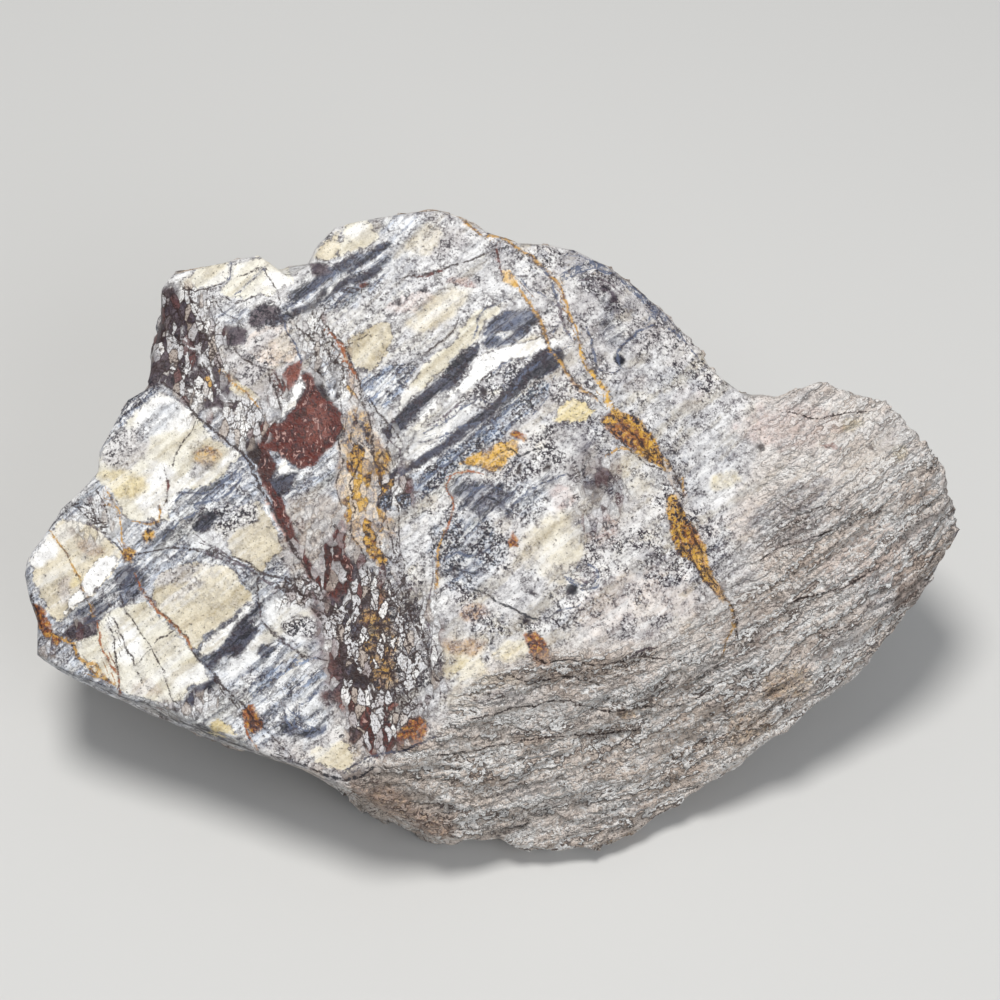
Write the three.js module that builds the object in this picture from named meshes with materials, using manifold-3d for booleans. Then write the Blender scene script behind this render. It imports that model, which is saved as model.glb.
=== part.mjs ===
// A block of porcelain jasper in one piece, as broad as a hand is long: a sawn and polished face, a rough
// front with a foot, a lower lobe on the right, and a tapering rough back. Millimetres, +Z up, origin under
// the middle of the stone on the surface that it rests on.
//
// The stone is laid out in three axes tied to the direction from which its sawn face is looked at: u to the
// right, v up across the line of sight and w towards the eye. Its surface is where one height function is
// zero: flat facets with rough skins, joined and cut by soft maxima and minima, inside an outline that the
// sight lines carry back.
import * as THREE from "three";
import { mergeVertices } from "three/addons/utils/BufferGeometryUtils.js";
import Module from "manifold-3d";

// Driving dimensions.
const sightElevation = THREE.MathUtils.degToRad(50);
const sightDistance = 450;
const sightHeight = 54; // of the layout's origin over the surface that the stone rests on
const middleAcross = -1.3; // layout u of the middle of the finished stone
const middleDepth = 9.4; // layout depth of the middle of the finished stone
const outlineCentre = [0, -5];
const corePoint = [8, -5, -36]; // every part of the surface can be seen from here
const seenDepth = -10; // w over which the triangles are the short ones
const bodyReach = [92, 60, 46]; // rough half sizes along u, v and w
const frontEdge = 4.6; // longest triangle edge on the seen side
const backEdge = 8; // longest triangle edge on the far side
const splitPasses = 3;
const ballDetail = 9; // of the ball that the first points are thrown from
const mergeDistance = 1e-5;

// The stone's outline across the line of sight, clockwise from the left tip, in u and v at w = 0.
const outline = [
  [-95, -15], [-94.4, -11.6], [-91, -7], [-87.6, -1.6], [-83.4, 2.2], [-80.4, 5.6], [-80.2, 9.6],
  [-77.6, 14.4], [-74.4, 20], [-70.4, 22.4], [-71, 31], [-69, 36.4], [-68, 42], [-65.6, 45],
  [-62, 46], [-55, 47.6], [-48.4, 49], [-46, 47.6], [-43.4, 45.6], [-39, 47.2], [-36.4, 51],
  [-33, 54.4], [-28.4, 55.8], [-17, 57.6], [-12, 57.8], [-7.6, 56.2], [-3.6, 54], [4, 51.2],
  [9.6, 51], [15, 50], [21, 47.2], [27, 43], [32.4, 38.4], [37.6, 33], [40.4, 29.6], [41.6, 26.4],
  [49, 20.8], [52, 20.8], [55, 20.4], [59, 22], [64, 23.4], [72.4, 20.8], [77, 20], [79.6, 17.2],
  [86, 10], [89, 5.6], [91, 0], [93.4, -5.6], [92, -9.6], [89.4, -12.4], [88, -16.4], [83, -23.6],
  [78, -29], [65, -40], [54, -47], [49, -51], [39.6, -59], [33.6, -61], [30.4, -63.6], [29, -67],
  [25, -69.6], [20, -71], [15, -69.6], [3, -69.6], [-2, -68.4], [-14, -67.6], [-21, -63.6],
  [-25.6, -63], [-29, -61], [-31, -58.4], [-40, -53.6], [-50, -50.4], [-66, -45.2], [-76.8, -41.2],
  [-87.6, -35], [-92.6, -31], [-92.4, -24.4], [-94, -20],
];

// How much the sides lean inwards behind the outline, by bearing in degrees from u towards v, and how far
// behind the plane of the sawn face the lean starts.
const sideLean = [
  { bearing: -180, lean: 0.2, from: 1 },
  { bearing: -150, lean: 0, from: 20 },
  { bearing: -20, lean: 0, from: 20 },
  { bearing: 0, lean: 0.2, from: 26 },
  { bearing: 25, lean: 0.3, from: 22 },
  { bearing: 45, lean: 0.2, from: 14 },
  { bearing: 90, lean: 0.12, from: 2 },
  { bearing: 140, lean: 0.2, from: 1 },
  { bearing: 180, lean: 0.2, from: 1 },
];

const sinE = Math.sin(sightElevation);
const cosE = Math.cos(sightElevation);
const toWorld = (u, v, w) => [u, v * sinE - w * cosE, sightHeight + v * cosE + w * sinE];
const toLayout = ([x, y, z]) => {
  const up = z - sightHeight;
  return [x, y * sinE + up * cosE, up * sinE - y * cosE];
};

const smooth = (t) => t * t * (3 - 2 * t);
const smoothStep = (low, high, x) => smooth(THREE.MathUtils.clamp((x - low) / (high - low), 0, 1));

// Repeatable noise from -1 to 1 on a lattice of hashed values.
function latticeValue(x, y, z) {
  let h = Math.imul(x, 374761393) ^ Math.imul(y, 668265263) ^ Math.imul(z, 1442695041);
  h = Math.imul(h ^ (h >>> 13), 1274126177);
  h = Math.imul(h ^ (h >>> 15), 1103515245);
  return ((h ^ (h >>> 16)) >>> 0) / 2147483647.5 - 1;
}

function noise([x, y, z], size) {
  const [i, j, k] = [Math.floor(x / size), Math.floor(y / size), Math.floor(z / size)];
  const [fx, fy, fz] = [smooth(x / size - i), smooth(y / size - j), smooth(z / size - k)];
  const alongX = (dj, dk) => {
    const low = latticeValue(i, j + dj, k + dk);
    return low + (latticeValue(i + 1, j + dj, k + dk) - low) * fx;
  };
  const near = alongX(0, 0) + (alongX(1, 0) - alongX(0, 0)) * fy;
  const far = alongX(0, 1) + (alongX(1, 1) - alongX(0, 1)) * fy;
  return near + (far - near) * fz;
}

// Lumps of one size with smaller ones on them.
const lumps = (p, size) => noise(p, size) + 0.45 * noise(p, size * 0.43);
const lumpSizes = { fine: 8, middle: 13, coarse: 21 };

// The layers of the rock: they lie level across the rough front and climb to the right on the lobe.
const layerBend = { from: -20, rate: 0.0085, slope: 0.85, dip: 0.25 };
function layerHeight([u, v, w]) {
  const across = Math.max(0, u - layerBend.from);
  const climb = Math.min(layerBend.rate * across * across * 0.5, layerBend.slope * across);
  return v - climb - layerBend.dip * w;
}

// A facet faces a direction, passes through a point and carries lumps and ridges of a given height.
const facet = (faces, through, lump = 0, size = "middle", ridge = 0) => {
  const [a, b, c] = new THREE.Vector3(...faces).normalize().toArray();
  return { a, b, c, offset: a * through[0] + b * through[1] + c * through[2], lump, size, ridge };
};
const groundFacet = (faces, through, lump, size, ridge) => {
  const [x, y, z] = faces;
  return facet([x, y * sinE + z * cosE, z * sinE - y * cosE], toLayout(through), lump, size, ridge);
};

const sawnFace = facet([-0.12, 0.15, 1], [-30, -53, 16]);
const middleFace = facet([0.03, 0.116, 1], [-20, -44, 15.9], 0.5);
const edgeStrip = facet([-0.413, -0.93, 0.26], [-62, -42.7, 10.6], 0.4, "fine", 0.4);
const faces = [sawnFace, middleFace, edgeStrip];

// The corner where the sawn face runs out over the rough front.
const corner = [
  facet([0.3, -0.62, 1], [-29, -55, 16.2], 0.9, "middle", 0.8),
  facet([0.45, -0.39, 1], [-14.6, -49.8, 16.6], 0.9, "middle", 0.8),
  facet([0.2, 1, 0.2], [-12, -26, 12]),
];

// The bulging middle, its rounded right shoulder and the rough front under it.
const body = [
  facet([0.1, -0.48, 1], [10, -28, 13], 0.9, "middle", 0.8),
  facet([0.42, -0.5, 1], [34, -32, 6.5], 1, "middle", 0.8),
  facet([0.45, 0.35, 1], [22, 24, 6.4], 0.7, "middle", 0.2),
  facet([0.34, 0.02, 1], [26, -6, 9.2], 0.9, "middle", 0.4),
];

const foot = [
  facet([0.1, -0.25, 1], [18, -63, -3.5], 0.8, "middle", 0.7),
  facet([-0.8, -0.3, 0.5], [-4, -66, -6], 0.8, "fine", 0.4),
  facet([0.8, -0.1, 0.6], [27, -64, -6], 0.8, "fine", 0.5),
  facet([0, 0.9, 0.6], [0, -56, -2], 0.8, "middle", 0.3),
];

const lobe = [
  facet([0.05, 0.4, 1], [68, 6, 4.2], 0.9, "middle", 0.5),
  facet([-0.4, -0.05, 1], [52, 2, 1.6], 0.8, "middle", 0.5),
  facet([0.24, -0.16, 1], [68, -8, 4.2], 1, "middle", 0.8),
  facet([0.8, -0.1, 1], [84, -4, 0], 0.9, "fine", 0.5),
  facet([0.45, -0.54, 1], [69, -25, 1.4], 0.9, "fine", 0.6),
];

const underAndBack = [
  groundFacet([-0.45, -0.12, -0.88], [-95, -15, 32], 1.7, "coarse", 0.7),
  groundFacet([0.46, -0.06, -0.88], [97, 7.6, 33], 1.8, "coarse", 0.7),
  groundFacet([0.05, 0.72, -0.69], [0, 64, 36], 2.2, "coarse", 0.8),
  groundFacet([0.08, 0.84, 0.54], [-12, 52, 86], 2.4, "coarse", 0.8),
  groundFacet([-0.55, 0.8, -0.1], [-62, 40, 52], 2.2, "coarse", 0.7),
  groundFacet([0.55, 0.82, -0.05], [60, 38, 40], 2.2, "coarse", 0.7),
];

// Bites: where the broken vein has weathered back at the upper left, chips along the edges, and scars on
// the back.
const bites = [
  { at: [-70, 34, 2], radius: 12, depth: 4.5 },
  { at: [-43, 47, 3], radius: 9, depth: 2.5 },
  { at: [-58, 38, 3], radius: 6, depth: 1 },
  { at: [-30, -62, 2], radius: 8, depth: 2 },
  { at: [58, -24, 2], radius: 13, depth: 1.6 },
  { at: [22, -48, 4], radius: 10, depth: 1.5 },
  { at: [-40, 20, -50], radius: 22, depth: 4 },
  { at: [35, 30, -48], radius: 20, depth: 4 },
];

const planeHeight = (f, [u, v, w]) => f.a * u + f.b * v + f.c * w - f.offset;

// What the facets share at one point: lumps of three sizes, and long ridges with sharp crests along the
// layers.
const ridgePitch = 5.5;
const ridgeStretch = { u: 0.3, w: 0.6 };
function skinAt(p) {
  const layered = [ridgeStretch.u * p[0], layerHeight(p), ridgeStretch.w * p[2]];
  const skin = { ridge: 2 * Math.abs(noise(layered, ridgePitch)) - 0.5 };
  for (const size in lumpSizes) skin[size] = lumps(p, lumpSizes[size]);
  return skin;
}

function softMax(values, blend) {
  const most = Math.max(...values);
  return most + blend * Math.log(values.reduce((sum, x) => sum + Math.exp((x - most) / blend), 0));
}
const softMin = (values, blend) => -softMax(values.map((x) => -x), blend);

// The outline's reach from its centre at one bearing.
const outlineRays = outline
  .map(([u, v]) => [u - outlineCentre[0], v - outlineCentre[1]])
  .map(([u, v]) => ({ bearing: Math.atan2(v, u), u, v }))
  .sort((a, b) => a.bearing - b.bearing);

function outlineReach(bearing) {
  let next = outlineRays.findIndex((ray) => ray.bearing > bearing);
  if (next < 0) next = 0;
  const b = outlineRays[next];
  const a = outlineRays[(next + outlineRays.length - 1) % outlineRays.length];
  const [du, dv] = [b.u - a.u, b.v - a.v];
  return (a.u * dv - a.v * du) / (Math.cos(bearing) * dv - Math.sin(bearing) * du);
}

// The same reach with its notches evened out, for the flanks well behind the outline.
const evenSpread = 15; // degrees on each side
const evenSet = 1.5; // how far the evened flanks lie inside
const evenReach = Array.from({ length: 361 }, (_, i) => {
  let sum = 0;
  for (let d = -evenSpread; d <= evenSpread; d++) {
    const turned = ((i + d + 360) % 360) - 180;
    sum += outlineReach(THREE.MathUtils.degToRad(turned));
  }
  return sum / (2 * evenSpread + 1) - evenSet;
});

const evenBy = 24; // depth behind the outline at which a flank is fully evened
const flankLumps = { coarse: 1.8, middle: 0.9, by: 14 };

// The flanks: the outline carried back along the sight lines, leaning inwards and getting rough and even.
function sideHeight(p, skin) {
  const [u, v, w] = p;
  const near = 1 - w / sightDistance;
  const across = u / near - outlineCentre[0];
  const up = v / near - outlineCentre[1];
  const bearing = Math.atan2(up, across);
  const degrees = THREE.MathUtils.radToDeg(bearing);
  const next = Math.max(1, sideLean.findIndex((stop) => stop.bearing >= degrees));
  const [a, b] = [sideLean[next - 1], sideLean[next]];
  const mix = (degrees - a.bearing) / (b.bearing - a.bearing);
  const from = a.from + (b.from - a.from) * mix;
  const behind = Math.max(0, -planeHeight(sawnFace, p) - from);
  const inwards = (a.lean + (b.lean - a.lean) * mix) * behind;
  const step = Math.min(359, Math.floor(degrees + 180));
  const even = evenReach[step] + (evenReach[step + 1] - evenReach[step]) * (degrees + 180 - step);
  const sharp = outlineReach(bearing);
  const reach = sharp + (even - sharp) * smoothStep(2, evenBy, behind);
  const lumpy = flankLumps.coarse * skin.coarse + flankLumps.middle * skin.middle;
  const rough = smoothStep(0, flankLumps.by, behind) * lumpy;
  return Math.hypot(across, up) - reach + inwards + rough;
}

// How softly the facets of each block, and then the blocks, run into each other.
const blend = { corner: 0.5, body: 0.9, foot: 1, lobe: 1.5, under: 2.5, union: 1.2, edges: 0.45 };

// Below zero inside the stone, and about the distance from its surface.
function stoneHeight(p) {
  const skin = skinAt(p);
  const heightOf = (f) => planeHeight(f, p) + f.lump * skin[f.size] + f.ridge * skin.ridge;
  const block = (facets, softness) => softMax(facets.map(heightOf), softness);
  const blocks = [
    block(corner, blend.corner),
    block(body, blend.body),
    block(foot, blend.foot),
    block(lobe, blend.lobe),
  ];
  const under = block(underAndBack, blend.under);
  const limits = [softMin(blocks, blend.union), ...faces.map(heightOf), sideHeight(p, skin), under];
  let height = softMax(limits, blend.edges);
  for (const { at, radius, depth } of bites) {
    const away = Math.hypot(p[0] - at[0], p[1] - at[1], p[2] - at[2]) / radius;
    if (away < 1) height += depth * smooth(1 - away);
  }
  return height;
}

// The surface point on the ray from the core through a point.
const core = new THREE.Vector3(...corePoint);
const stride = 4;
const halvings = 22;
function onSurface(through) {
  const ray = new THREE.Vector3().subVectors(through, core).normalize();
  const at = (reach) => core.clone().addScaledVector(ray, reach).toArray();
  let [inside, outside] = [0, stride];
  while (stoneHeight(at(outside)) < 0) {
    inside = outside;
    outside += stride;
  }
  for (let halving = 0; halving < halvings; halving++) {
    const middle = (inside + outside) / 2;
    if (stoneHeight(at(middle)) < 0) inside = middle;
    else outside = middle;
  }
  return new THREE.Vector3(...at((inside + outside) / 2));
}

// One pass that splits every edge that is too long, with the new points on the surface.
function splitLongEdges(points, triangles) {
  const middles = new Map();
  const middleOf = (a, b) => {
    const key = a < b ? `${a}_${b}` : `${b}_${a}`;
    if (!middles.has(key)) {
      const half = points[a].clone().add(points[b]).multiplyScalar(0.5);
      const longest = half.z > seenDepth ? frontEdge : backEdge;
      const split = points[a].distanceTo(points[b]) > longest;
      middles.set(key, split ? points.push(onSurface(half)) - 1 : -1);
    }
    return middles.get(key);
  };
  const made = [];
  for (const [a, b, c] of triangles) {
    const [ab, bc, ca] = [middleOf(a, b), middleOf(b, c), middleOf(c, a)];
    const cuts = [ab, bc, ca].filter((m) => m >= 0).length;
    if (cuts === 0) made.push([a, b, c]);
    else if (cuts === 3) made.push([a, ab, ca], [ab, b, bc], [ca, bc, c], [ab, bc, ca]);
    else {
      // Turned so that the edge from p to q is cut, and the one from r to p isn't when only one other is.
      const [p, q, r, pq, qr] =
        cuts === 1
          ? ab >= 0 ? [a, b, c, ab, -1] : bc >= 0 ? [b, c, a, bc, -1] : [c, a, b, ca, -1]
          : ca < 0 ? [a, b, c, ab, bc] : ab < 0 ? [b, c, a, bc, ca] : [c, a, b, ca, ab];
      if (cuts === 1) made.push([p, pq, r], [pq, q, r]);
      else made.push([pq, q, qr], [p, pq, qr], [p, qr, r]);
    }
  }
  return made;
}

function stoneSurface() {
  const ball = new THREE.IcosahedronGeometry(1, ballDetail);
  ball.deleteAttribute("normal");
  ball.deleteAttribute("uv");
  const round = mergeVertices(ball, mergeDistance);
  const reach = new THREE.Vector3(...bodyReach);
  const points = [];
  for (let i = 0; i < round.attributes.position.count; i++) {
    const way = new THREE.Vector3().fromBufferAttribute(round.attributes.position, i).multiply(reach);
    points.push(onSurface(way.add(core)));
  }
  let triangles = [];
  for (let i = 0; i < round.index.count; i += 3) {
    triangles.push([0, 1, 2].map((k) => round.index.getX(i + k)));
  }
  for (let pass = 0; pass < splitPasses; pass++) triangles = splitLongEdges(points, triangles);
  const places = points.flatMap((p) => {
    const [x, y, z] = toWorld(p.x, p.y, p.z);
    return [x - middleAcross, y - middleDepth, z];
  });
  return new THREE.BufferGeometry()
    .setAttribute("position", new THREE.Float32BufferAttribute(places, 3))
    .setIndex(triangles.flat());
}

const wasm = await Module();
wasm.setup();

function solidFrom(geometry) {
  return new wasm.Manifold(
    new wasm.Mesh({
      numProp: 3,
      vertProperties: new Float32Array(geometry.attributes.position.array),
      triVerts: new Uint32Array(geometry.index.array),
    }),
  );
}

// Everything under the resting surface is cut away, which leaves the flat spot that the stone stands on.
const roomWidth = 400;
const roomDepth = 100;
function trimmedStone() {
  const room = new THREE.BoxGeometry(roomWidth, roomWidth, roomDepth).translate(0, 0, -roomDepth / 2);
  room.deleteAttribute("normal");
  room.deleteAttribute("uv");
  const below = solidFrom(mergeVertices(room, mergeDistance));
  const mesh = solidFrom(stoneSurface()).subtract(below).getMesh();
  return new THREE.BufferGeometry()
    .setAttribute("position", new THREE.Float32BufferAttribute(mesh.vertProperties, 3))
    .setIndex([...mesh.triVerts]);
}

const jasper = new THREE.MeshStandardMaterial({ color: 0xb9b1ab, roughness: 0.55, metalness: 0 });
const stone = new THREE.Mesh(trimmedStone(), jasper);
stone.name = "stone";

const group = new THREE.Group();
group.add(stone);
export default group;
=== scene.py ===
import bmesh
import bpy
import numpy as np
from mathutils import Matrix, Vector


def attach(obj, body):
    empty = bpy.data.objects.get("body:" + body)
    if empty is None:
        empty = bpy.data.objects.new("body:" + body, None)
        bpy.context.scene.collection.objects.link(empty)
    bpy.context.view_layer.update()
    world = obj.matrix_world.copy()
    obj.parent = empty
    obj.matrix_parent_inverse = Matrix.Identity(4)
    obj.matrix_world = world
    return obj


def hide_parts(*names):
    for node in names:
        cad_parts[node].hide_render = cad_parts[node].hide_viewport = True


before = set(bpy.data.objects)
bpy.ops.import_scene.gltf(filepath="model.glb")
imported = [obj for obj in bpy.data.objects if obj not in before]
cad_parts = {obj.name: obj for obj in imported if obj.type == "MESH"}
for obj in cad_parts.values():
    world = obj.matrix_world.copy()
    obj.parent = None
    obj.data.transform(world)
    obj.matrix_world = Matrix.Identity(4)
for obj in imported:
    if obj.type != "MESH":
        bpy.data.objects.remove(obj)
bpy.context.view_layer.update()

# The layout axes: u to the right, v up across the line of sight and w towards the eye, in millimetres
sight = {
    "elevation": 50,  # degrees over the horizon
    "distance": 450,
    "height": 54,  # of the layout's origin over the floor
    "middleAcross": -1.3,
    "middleDepth": 9.4,
    "pixel": 0.2,  # size of a pixel of the photograph at w = 0
    "centre": 500,  # pixel in the middle of the photograph, both ways
    "sensor": 36,
}
sinE = np.sin(np.radians(sight["elevation"]))
cosE = np.cos(np.radians(sight["elevation"]))


def layoutOf(places):  # from metres in the part's frame
    x = places[:, 0] * 1000 + sight["middleAcross"]
    y = places[:, 1] * 1000 + sight["middleDepth"]
    up = places[:, 2] * 1000 - sight["height"]
    return np.stack([x, y * sinE + up * cosE, up * sinE - y * cosE], 1)


def placesOf(points):  # back to metres
    u, v, w = points.T
    x = u - sight["middleAcross"]
    y = v * sinE - w * cosE - sight["middleDepth"]
    z = sight["height"] + v * cosE + w * sinE
    return np.stack([x, y, z], 1) / 1000


def pictureOf(points):  # where the eye sees each point, in pixels of the photograph
    near = 1 - points[:, 2] / sight["distance"]
    x = sight["centre"] + points[:, 0] / near / sight["pixel"]
    y = sight["centre"] - points[:, 1] / near / sight["pixel"]
    return np.stack([x, y], 1)


def smooth(t):
    return t * t * (3 - 2 * t)


def smoothStep(low, high, x):
    return smooth(np.clip((x - low) / (high - low), 0, 1))


def latticeValue(x, y, z):
    h = (x * np.uint32(374761393)) ^ (y * np.uint32(668265263)) ^ (z * np.uint32(1442695041))
    h = (h ^ (h >> np.uint32(13))) * np.uint32(1274126177)
    h = (h ^ (h >> np.uint32(15))) * np.uint32(1103515245)
    return (h ^ (h >> np.uint32(16))) / 2147483647.5 - 1


# Repeatable noise from -1 to 1
def noise(points, size):
    cells = np.floor(points / size)
    fx, fy, fz = smooth(points / size - cells).T
    i, j, k = cells.astype(np.int64).astype(np.uint32).T

    def alongX(dj, dk):
        y = j + np.uint32(dj)
        z = k + np.uint32(dk)
        low = latticeValue(i, y, z)
        return low + (latticeValue(i + np.uint32(1), y, z) - low) * fx

    near = alongX(0, 0)
    near += (alongX(1, 0) - near) * fy
    far = alongX(0, 1)
    far += (alongX(1, 1) - far) * fy
    return near + (far - near) * fz


def lumps(points, size):
    finer = stoneForm["finerLumps"]
    return noise(points, size) + finer["height"] * noise(points, size * finer["size"])


# The stone's form, the same rule that its solid follows, so that a finer mesh can lie on the true surface
stoneForm = {
    "outlineCentre": (0, -5),
    "core": (8, -5, -36),
    "outline": [
        (-95, -15), (-94.4, -11.6), (-91, -7), (-87.6, -1.6), (-83.4, 2.2), (-80.4, 5.6), (-80.2, 9.6),
        (-77.6, 14.4), (-74.4, 20), (-70.4, 22.4), (-71, 31), (-69, 36.4), (-68, 42), (-65.6, 45),
        (-62, 46), (-55, 47.6), (-48.4, 49), (-46, 47.6), (-43.4, 45.6), (-39, 47.2), (-36.4, 51),
        (-33, 54.4), (-28.4, 55.8), (-17, 57.6), (-12, 57.8), (-7.6, 56.2), (-3.6, 54), (4, 51.2),
        (9.6, 51), (15, 50), (21, 47.2), (27, 43), (32.4, 38.4), (37.6, 33), (40.4, 29.6), (41.6, 26.4),
        (49, 20.8), (52, 20.8), (55, 20.4), (59, 22), (64, 23.4), (72.4, 20.8), (77, 20), (79.6, 17.2),
        (86, 10), (89, 5.6), (91, 0), (93.4, -5.6), (92, -9.6), (89.4, -12.4), (88, -16.4), (83, -23.6),
        (78, -29), (65, -40), (54, -47), (49, -51), (39.6, -59), (33.6, -61), (30.4, -63.6), (29, -67),
        (25, -69.6), (20, -71), (15, -69.6), (3, -69.6), (-2, -68.4), (-14, -67.6), (-21, -63.6),
        (-25.6, -63), (-29, -61), (-31, -58.4), (-40, -53.6), (-50, -50.4), (-66, -45.2), (-76.8, -41.2),
        (-87.6, -35), (-92.6, -31), (-92.4, -24.4), (-94, -20),
    ],
    "sideLean": [  # bearing in degrees, lean inwards, and how far behind the sawn face it starts
        (-180, 0.2, 1), (-150, 0, 20), (-20, 0, 20), (0, 0.2, 26), (25, 0.3, 22), (45, 0.2, 14),
        (90, 0.12, 2), (140, 0.2, 1), (180, 0.2, 1),
    ],
    "lumpSizes": {"fine": 8, "middle": 13, "coarse": 21},
    "finerLumps": {"height": 0.45, "size": 0.43},
    "layers": {"from": -20, "rate": 0.0085, "slope": 0.85, "dip": 0.25},
    "ridges": {"pitch": 5.5, "alongU": 0.3, "alongW": 0.6},
    "flanks": {"coarse": 1.8, "middle": 0.9, "by": 14, "evenSpread": 15, "evenSet": 1.5, "evenBy": 24},
    "sawn": [((-0.12, 0.15, 1), (-30, -53, 16), 0, "middle", 0)],
    "limits": [  # each facet: facing, point, lumps, their size, ridges
        ((0.03, 0.116, 1), (-20, -44, 15.9), 0.5, "middle", 0),
        ((-0.413, -0.93, 0.26), (-62, -42.7, 10.6), 0.4, "fine", 0.4),
    ],
    "blocks": {
        "corner": (0.5, [
            ((0.3, -0.62, 1), (-29, -55, 16.2), 0.9, "middle", 0.8),
            ((0.45, -0.39, 1), (-14.6, -49.8, 16.6), 0.9, "middle", 0.8),
            ((0.2, 1, 0.2), (-12, -26, 12), 0, "middle", 0),
        ]),
        "body": (0.9, [
            ((0.1, -0.48, 1), (10, -28, 13), 0.9, "middle", 0.8),
            ((0.42, -0.5, 1), (34, -32, 6.5), 1, "middle", 0.8),
            ((0.45, 0.35, 1), (22, 24, 6.4), 0.7, "middle", 0.2),
            ((0.34, 0.02, 1), (26, -6, 9.2), 0.9, "middle", 0.4),
        ]),
        "foot": (1, [
            ((0.1, -0.25, 1), (18, -63, -3.5), 0.8, "middle", 0.7),
            ((-0.8, -0.3, 0.5), (-4, -66, -6), 0.8, "fine", 0.4),
            ((0.8, -0.1, 0.6), (27, -64, -6), 0.8, "fine", 0.5),
            ((0, 0.9, 0.6), (0, -56, -2), 0.8, "middle", 0.3),
        ]),
        "lobe": (1.5, [
            ((0.05, 0.4, 1), (68, 6, 4.2), 0.9, "middle", 0.5),
            ((-0.4, -0.05, 1), (52, 2, 1.6), 0.8, "middle", 0.5),
            ((0.24, -0.16, 1), (68, -8, 4.2), 1, "middle", 0.8),
            ((0.8, -0.1, 1), (84, -4, 0), 0.9, "fine", 0.5),
            ((0.45, -0.54, 1), (69, -25, 1.4), 0.9, "fine", 0.6),
        ]),
    },
    "underAndBack": [  # facing and point in the part's own axes
        ((-0.45, -0.12, -0.88), (-95, -15, 32), 1.7, "coarse", 0.7),
        ((0.46, -0.06, -0.88), (97, 7.6, 33), 1.8, "coarse", 0.7),
        ((0.05, 0.72, -0.69), (0, 64, 36), 2.2, "coarse", 0.8),
        ((0.08, 0.84, 0.54), (-12, 52, 86), 2.4, "coarse", 0.8),
        ((-0.55, 0.8, -0.1), (-62, 40, 52), 2.2, "coarse", 0.7),
        ((0.55, 0.82, -0.05), (60, 38, 40), 2.2, "coarse", 0.7),
    ],
    "bites": [  # point, radius, depth
        ((-70, 34, 2), 12, 4.5), ((-43, 47, 3), 9, 2.5), ((-58, 38, 3), 6, 1), ((-30, -62, 2), 8, 2),
        ((58, -24, 2), 13, 1.6), ((22, -48, 4), 10, 1.5), ((-40, 20, -50), 22, 4), ((35, 30, -48), 20, 4),
    ],
    "blend": {"under": 2.5, "union": 1.2, "edges": 0.45},
}


def layerHeight(points):
    layers = stoneForm["layers"]
    across = np.maximum(0, points[:, 0] - layers["from"])
    climb = np.minimum(layers["rate"] * across * across * 0.5, layers["slope"] * across)
    return points[:, 1] - climb - layers["dip"] * points[:, 2]


def unit(direction):
    return np.array(direction, float) / np.linalg.norm(direction)


def facetOf(faces, through, lump, size, ridge):
    facing = unit(faces)
    offset = facing @ np.array(through, float)
    return {"faces": facing, "offset": offset, "lump": lump, "size": size, "ridge": ridge}


def groundFacet(faces, through, *skin):
    x, y, z = faces
    px, py, pz = through[0], through[1], through[2] - sight["height"]
    turned = (x, y * sinE + z * cosE, z * sinE - y * cosE)
    return facetOf(turned, (px, py * sinE + pz * cosE, pz * sinE - py * cosE), *skin)


def softMax(values, blend):
    stack = np.array(values)
    most = stack.max(axis=0)
    return most + blend * np.log(np.exp((stack - most) / blend).sum(axis=0))


def softMin(values, blend):
    return -softMax([-value for value in values], blend)


outlineRays = np.array(stoneForm["outline"], float) - stoneForm["outlineCentre"]
outlineBearings = np.arctan2(outlineRays[:, 1], outlineRays[:, 0])
outlineRays = outlineRays[np.argsort(outlineBearings)]
outlineBearings = np.sort(outlineBearings)


def outlineReach(bearing):
    after = np.searchsorted(outlineBearings, bearing, side="right") % len(outlineRays)
    b = outlineRays[after]
    a = outlineRays[after - 1]
    du, dv = (b - a).T
    return (a[:, 0] * dv - a[:, 1] * du) / (np.cos(bearing) * dv - np.sin(bearing) * du)


def evenedReach():
    flanks = stoneForm["flanks"]
    spread = flanks["evenSpread"]
    bearings = np.arange(361)[:, None] + np.arange(-spread, spread + 1)[None, :]
    turned = np.radians((bearings + 360) % 360 - 180.0)
    return outlineReach(turned.ravel()).reshape(turned.shape).mean(axis=1) - flanks["evenSet"]


evenReach = evenedReach()
sawnFacet = facetOf(*stoneForm["sawn"][0])
limitFacets = [sawnFacet] + [facetOf(*row) for row in stoneForm["limits"]]
underFacets = [groundFacet(*row) for row in stoneForm["underAndBack"]]
blockFacets = [(soft, [facetOf(*row) for row in rows]) for soft, rows in stoneForm["blocks"].values()]


def planeHeight(facet, points):
    return points @ facet["faces"] - facet["offset"]


def sideHeight(points, skin):
    flanks = stoneForm["flanks"]
    near = 1 - points[:, 2] / sight["distance"]
    across = points[:, 0] / near - stoneForm["outlineCentre"][0]
    up = points[:, 1] / near - stoneForm["outlineCentre"][1]
    bearing = np.arctan2(up, across)
    degrees = np.degrees(bearing)
    stops, leans, starts = np.array(stoneForm["sideLean"], float).T
    behind = np.maximum(0, -planeHeight(sawnFacet, points) - np.interp(degrees, stops, starts))
    sharp = outlineReach(bearing)
    even = np.interp(degrees + 180, np.arange(361), evenReach)
    reach = sharp + (even - sharp) * smoothStep(2, flanks["evenBy"], behind)
    lumpy = flanks["coarse"] * skin["coarse"] + flanks["middle"] * skin["middle"]
    inwards = np.interp(degrees, stops, leans) * behind
    return np.hypot(across, up) - reach + inwards + smoothStep(0, flanks["by"], behind) * lumpy


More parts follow.
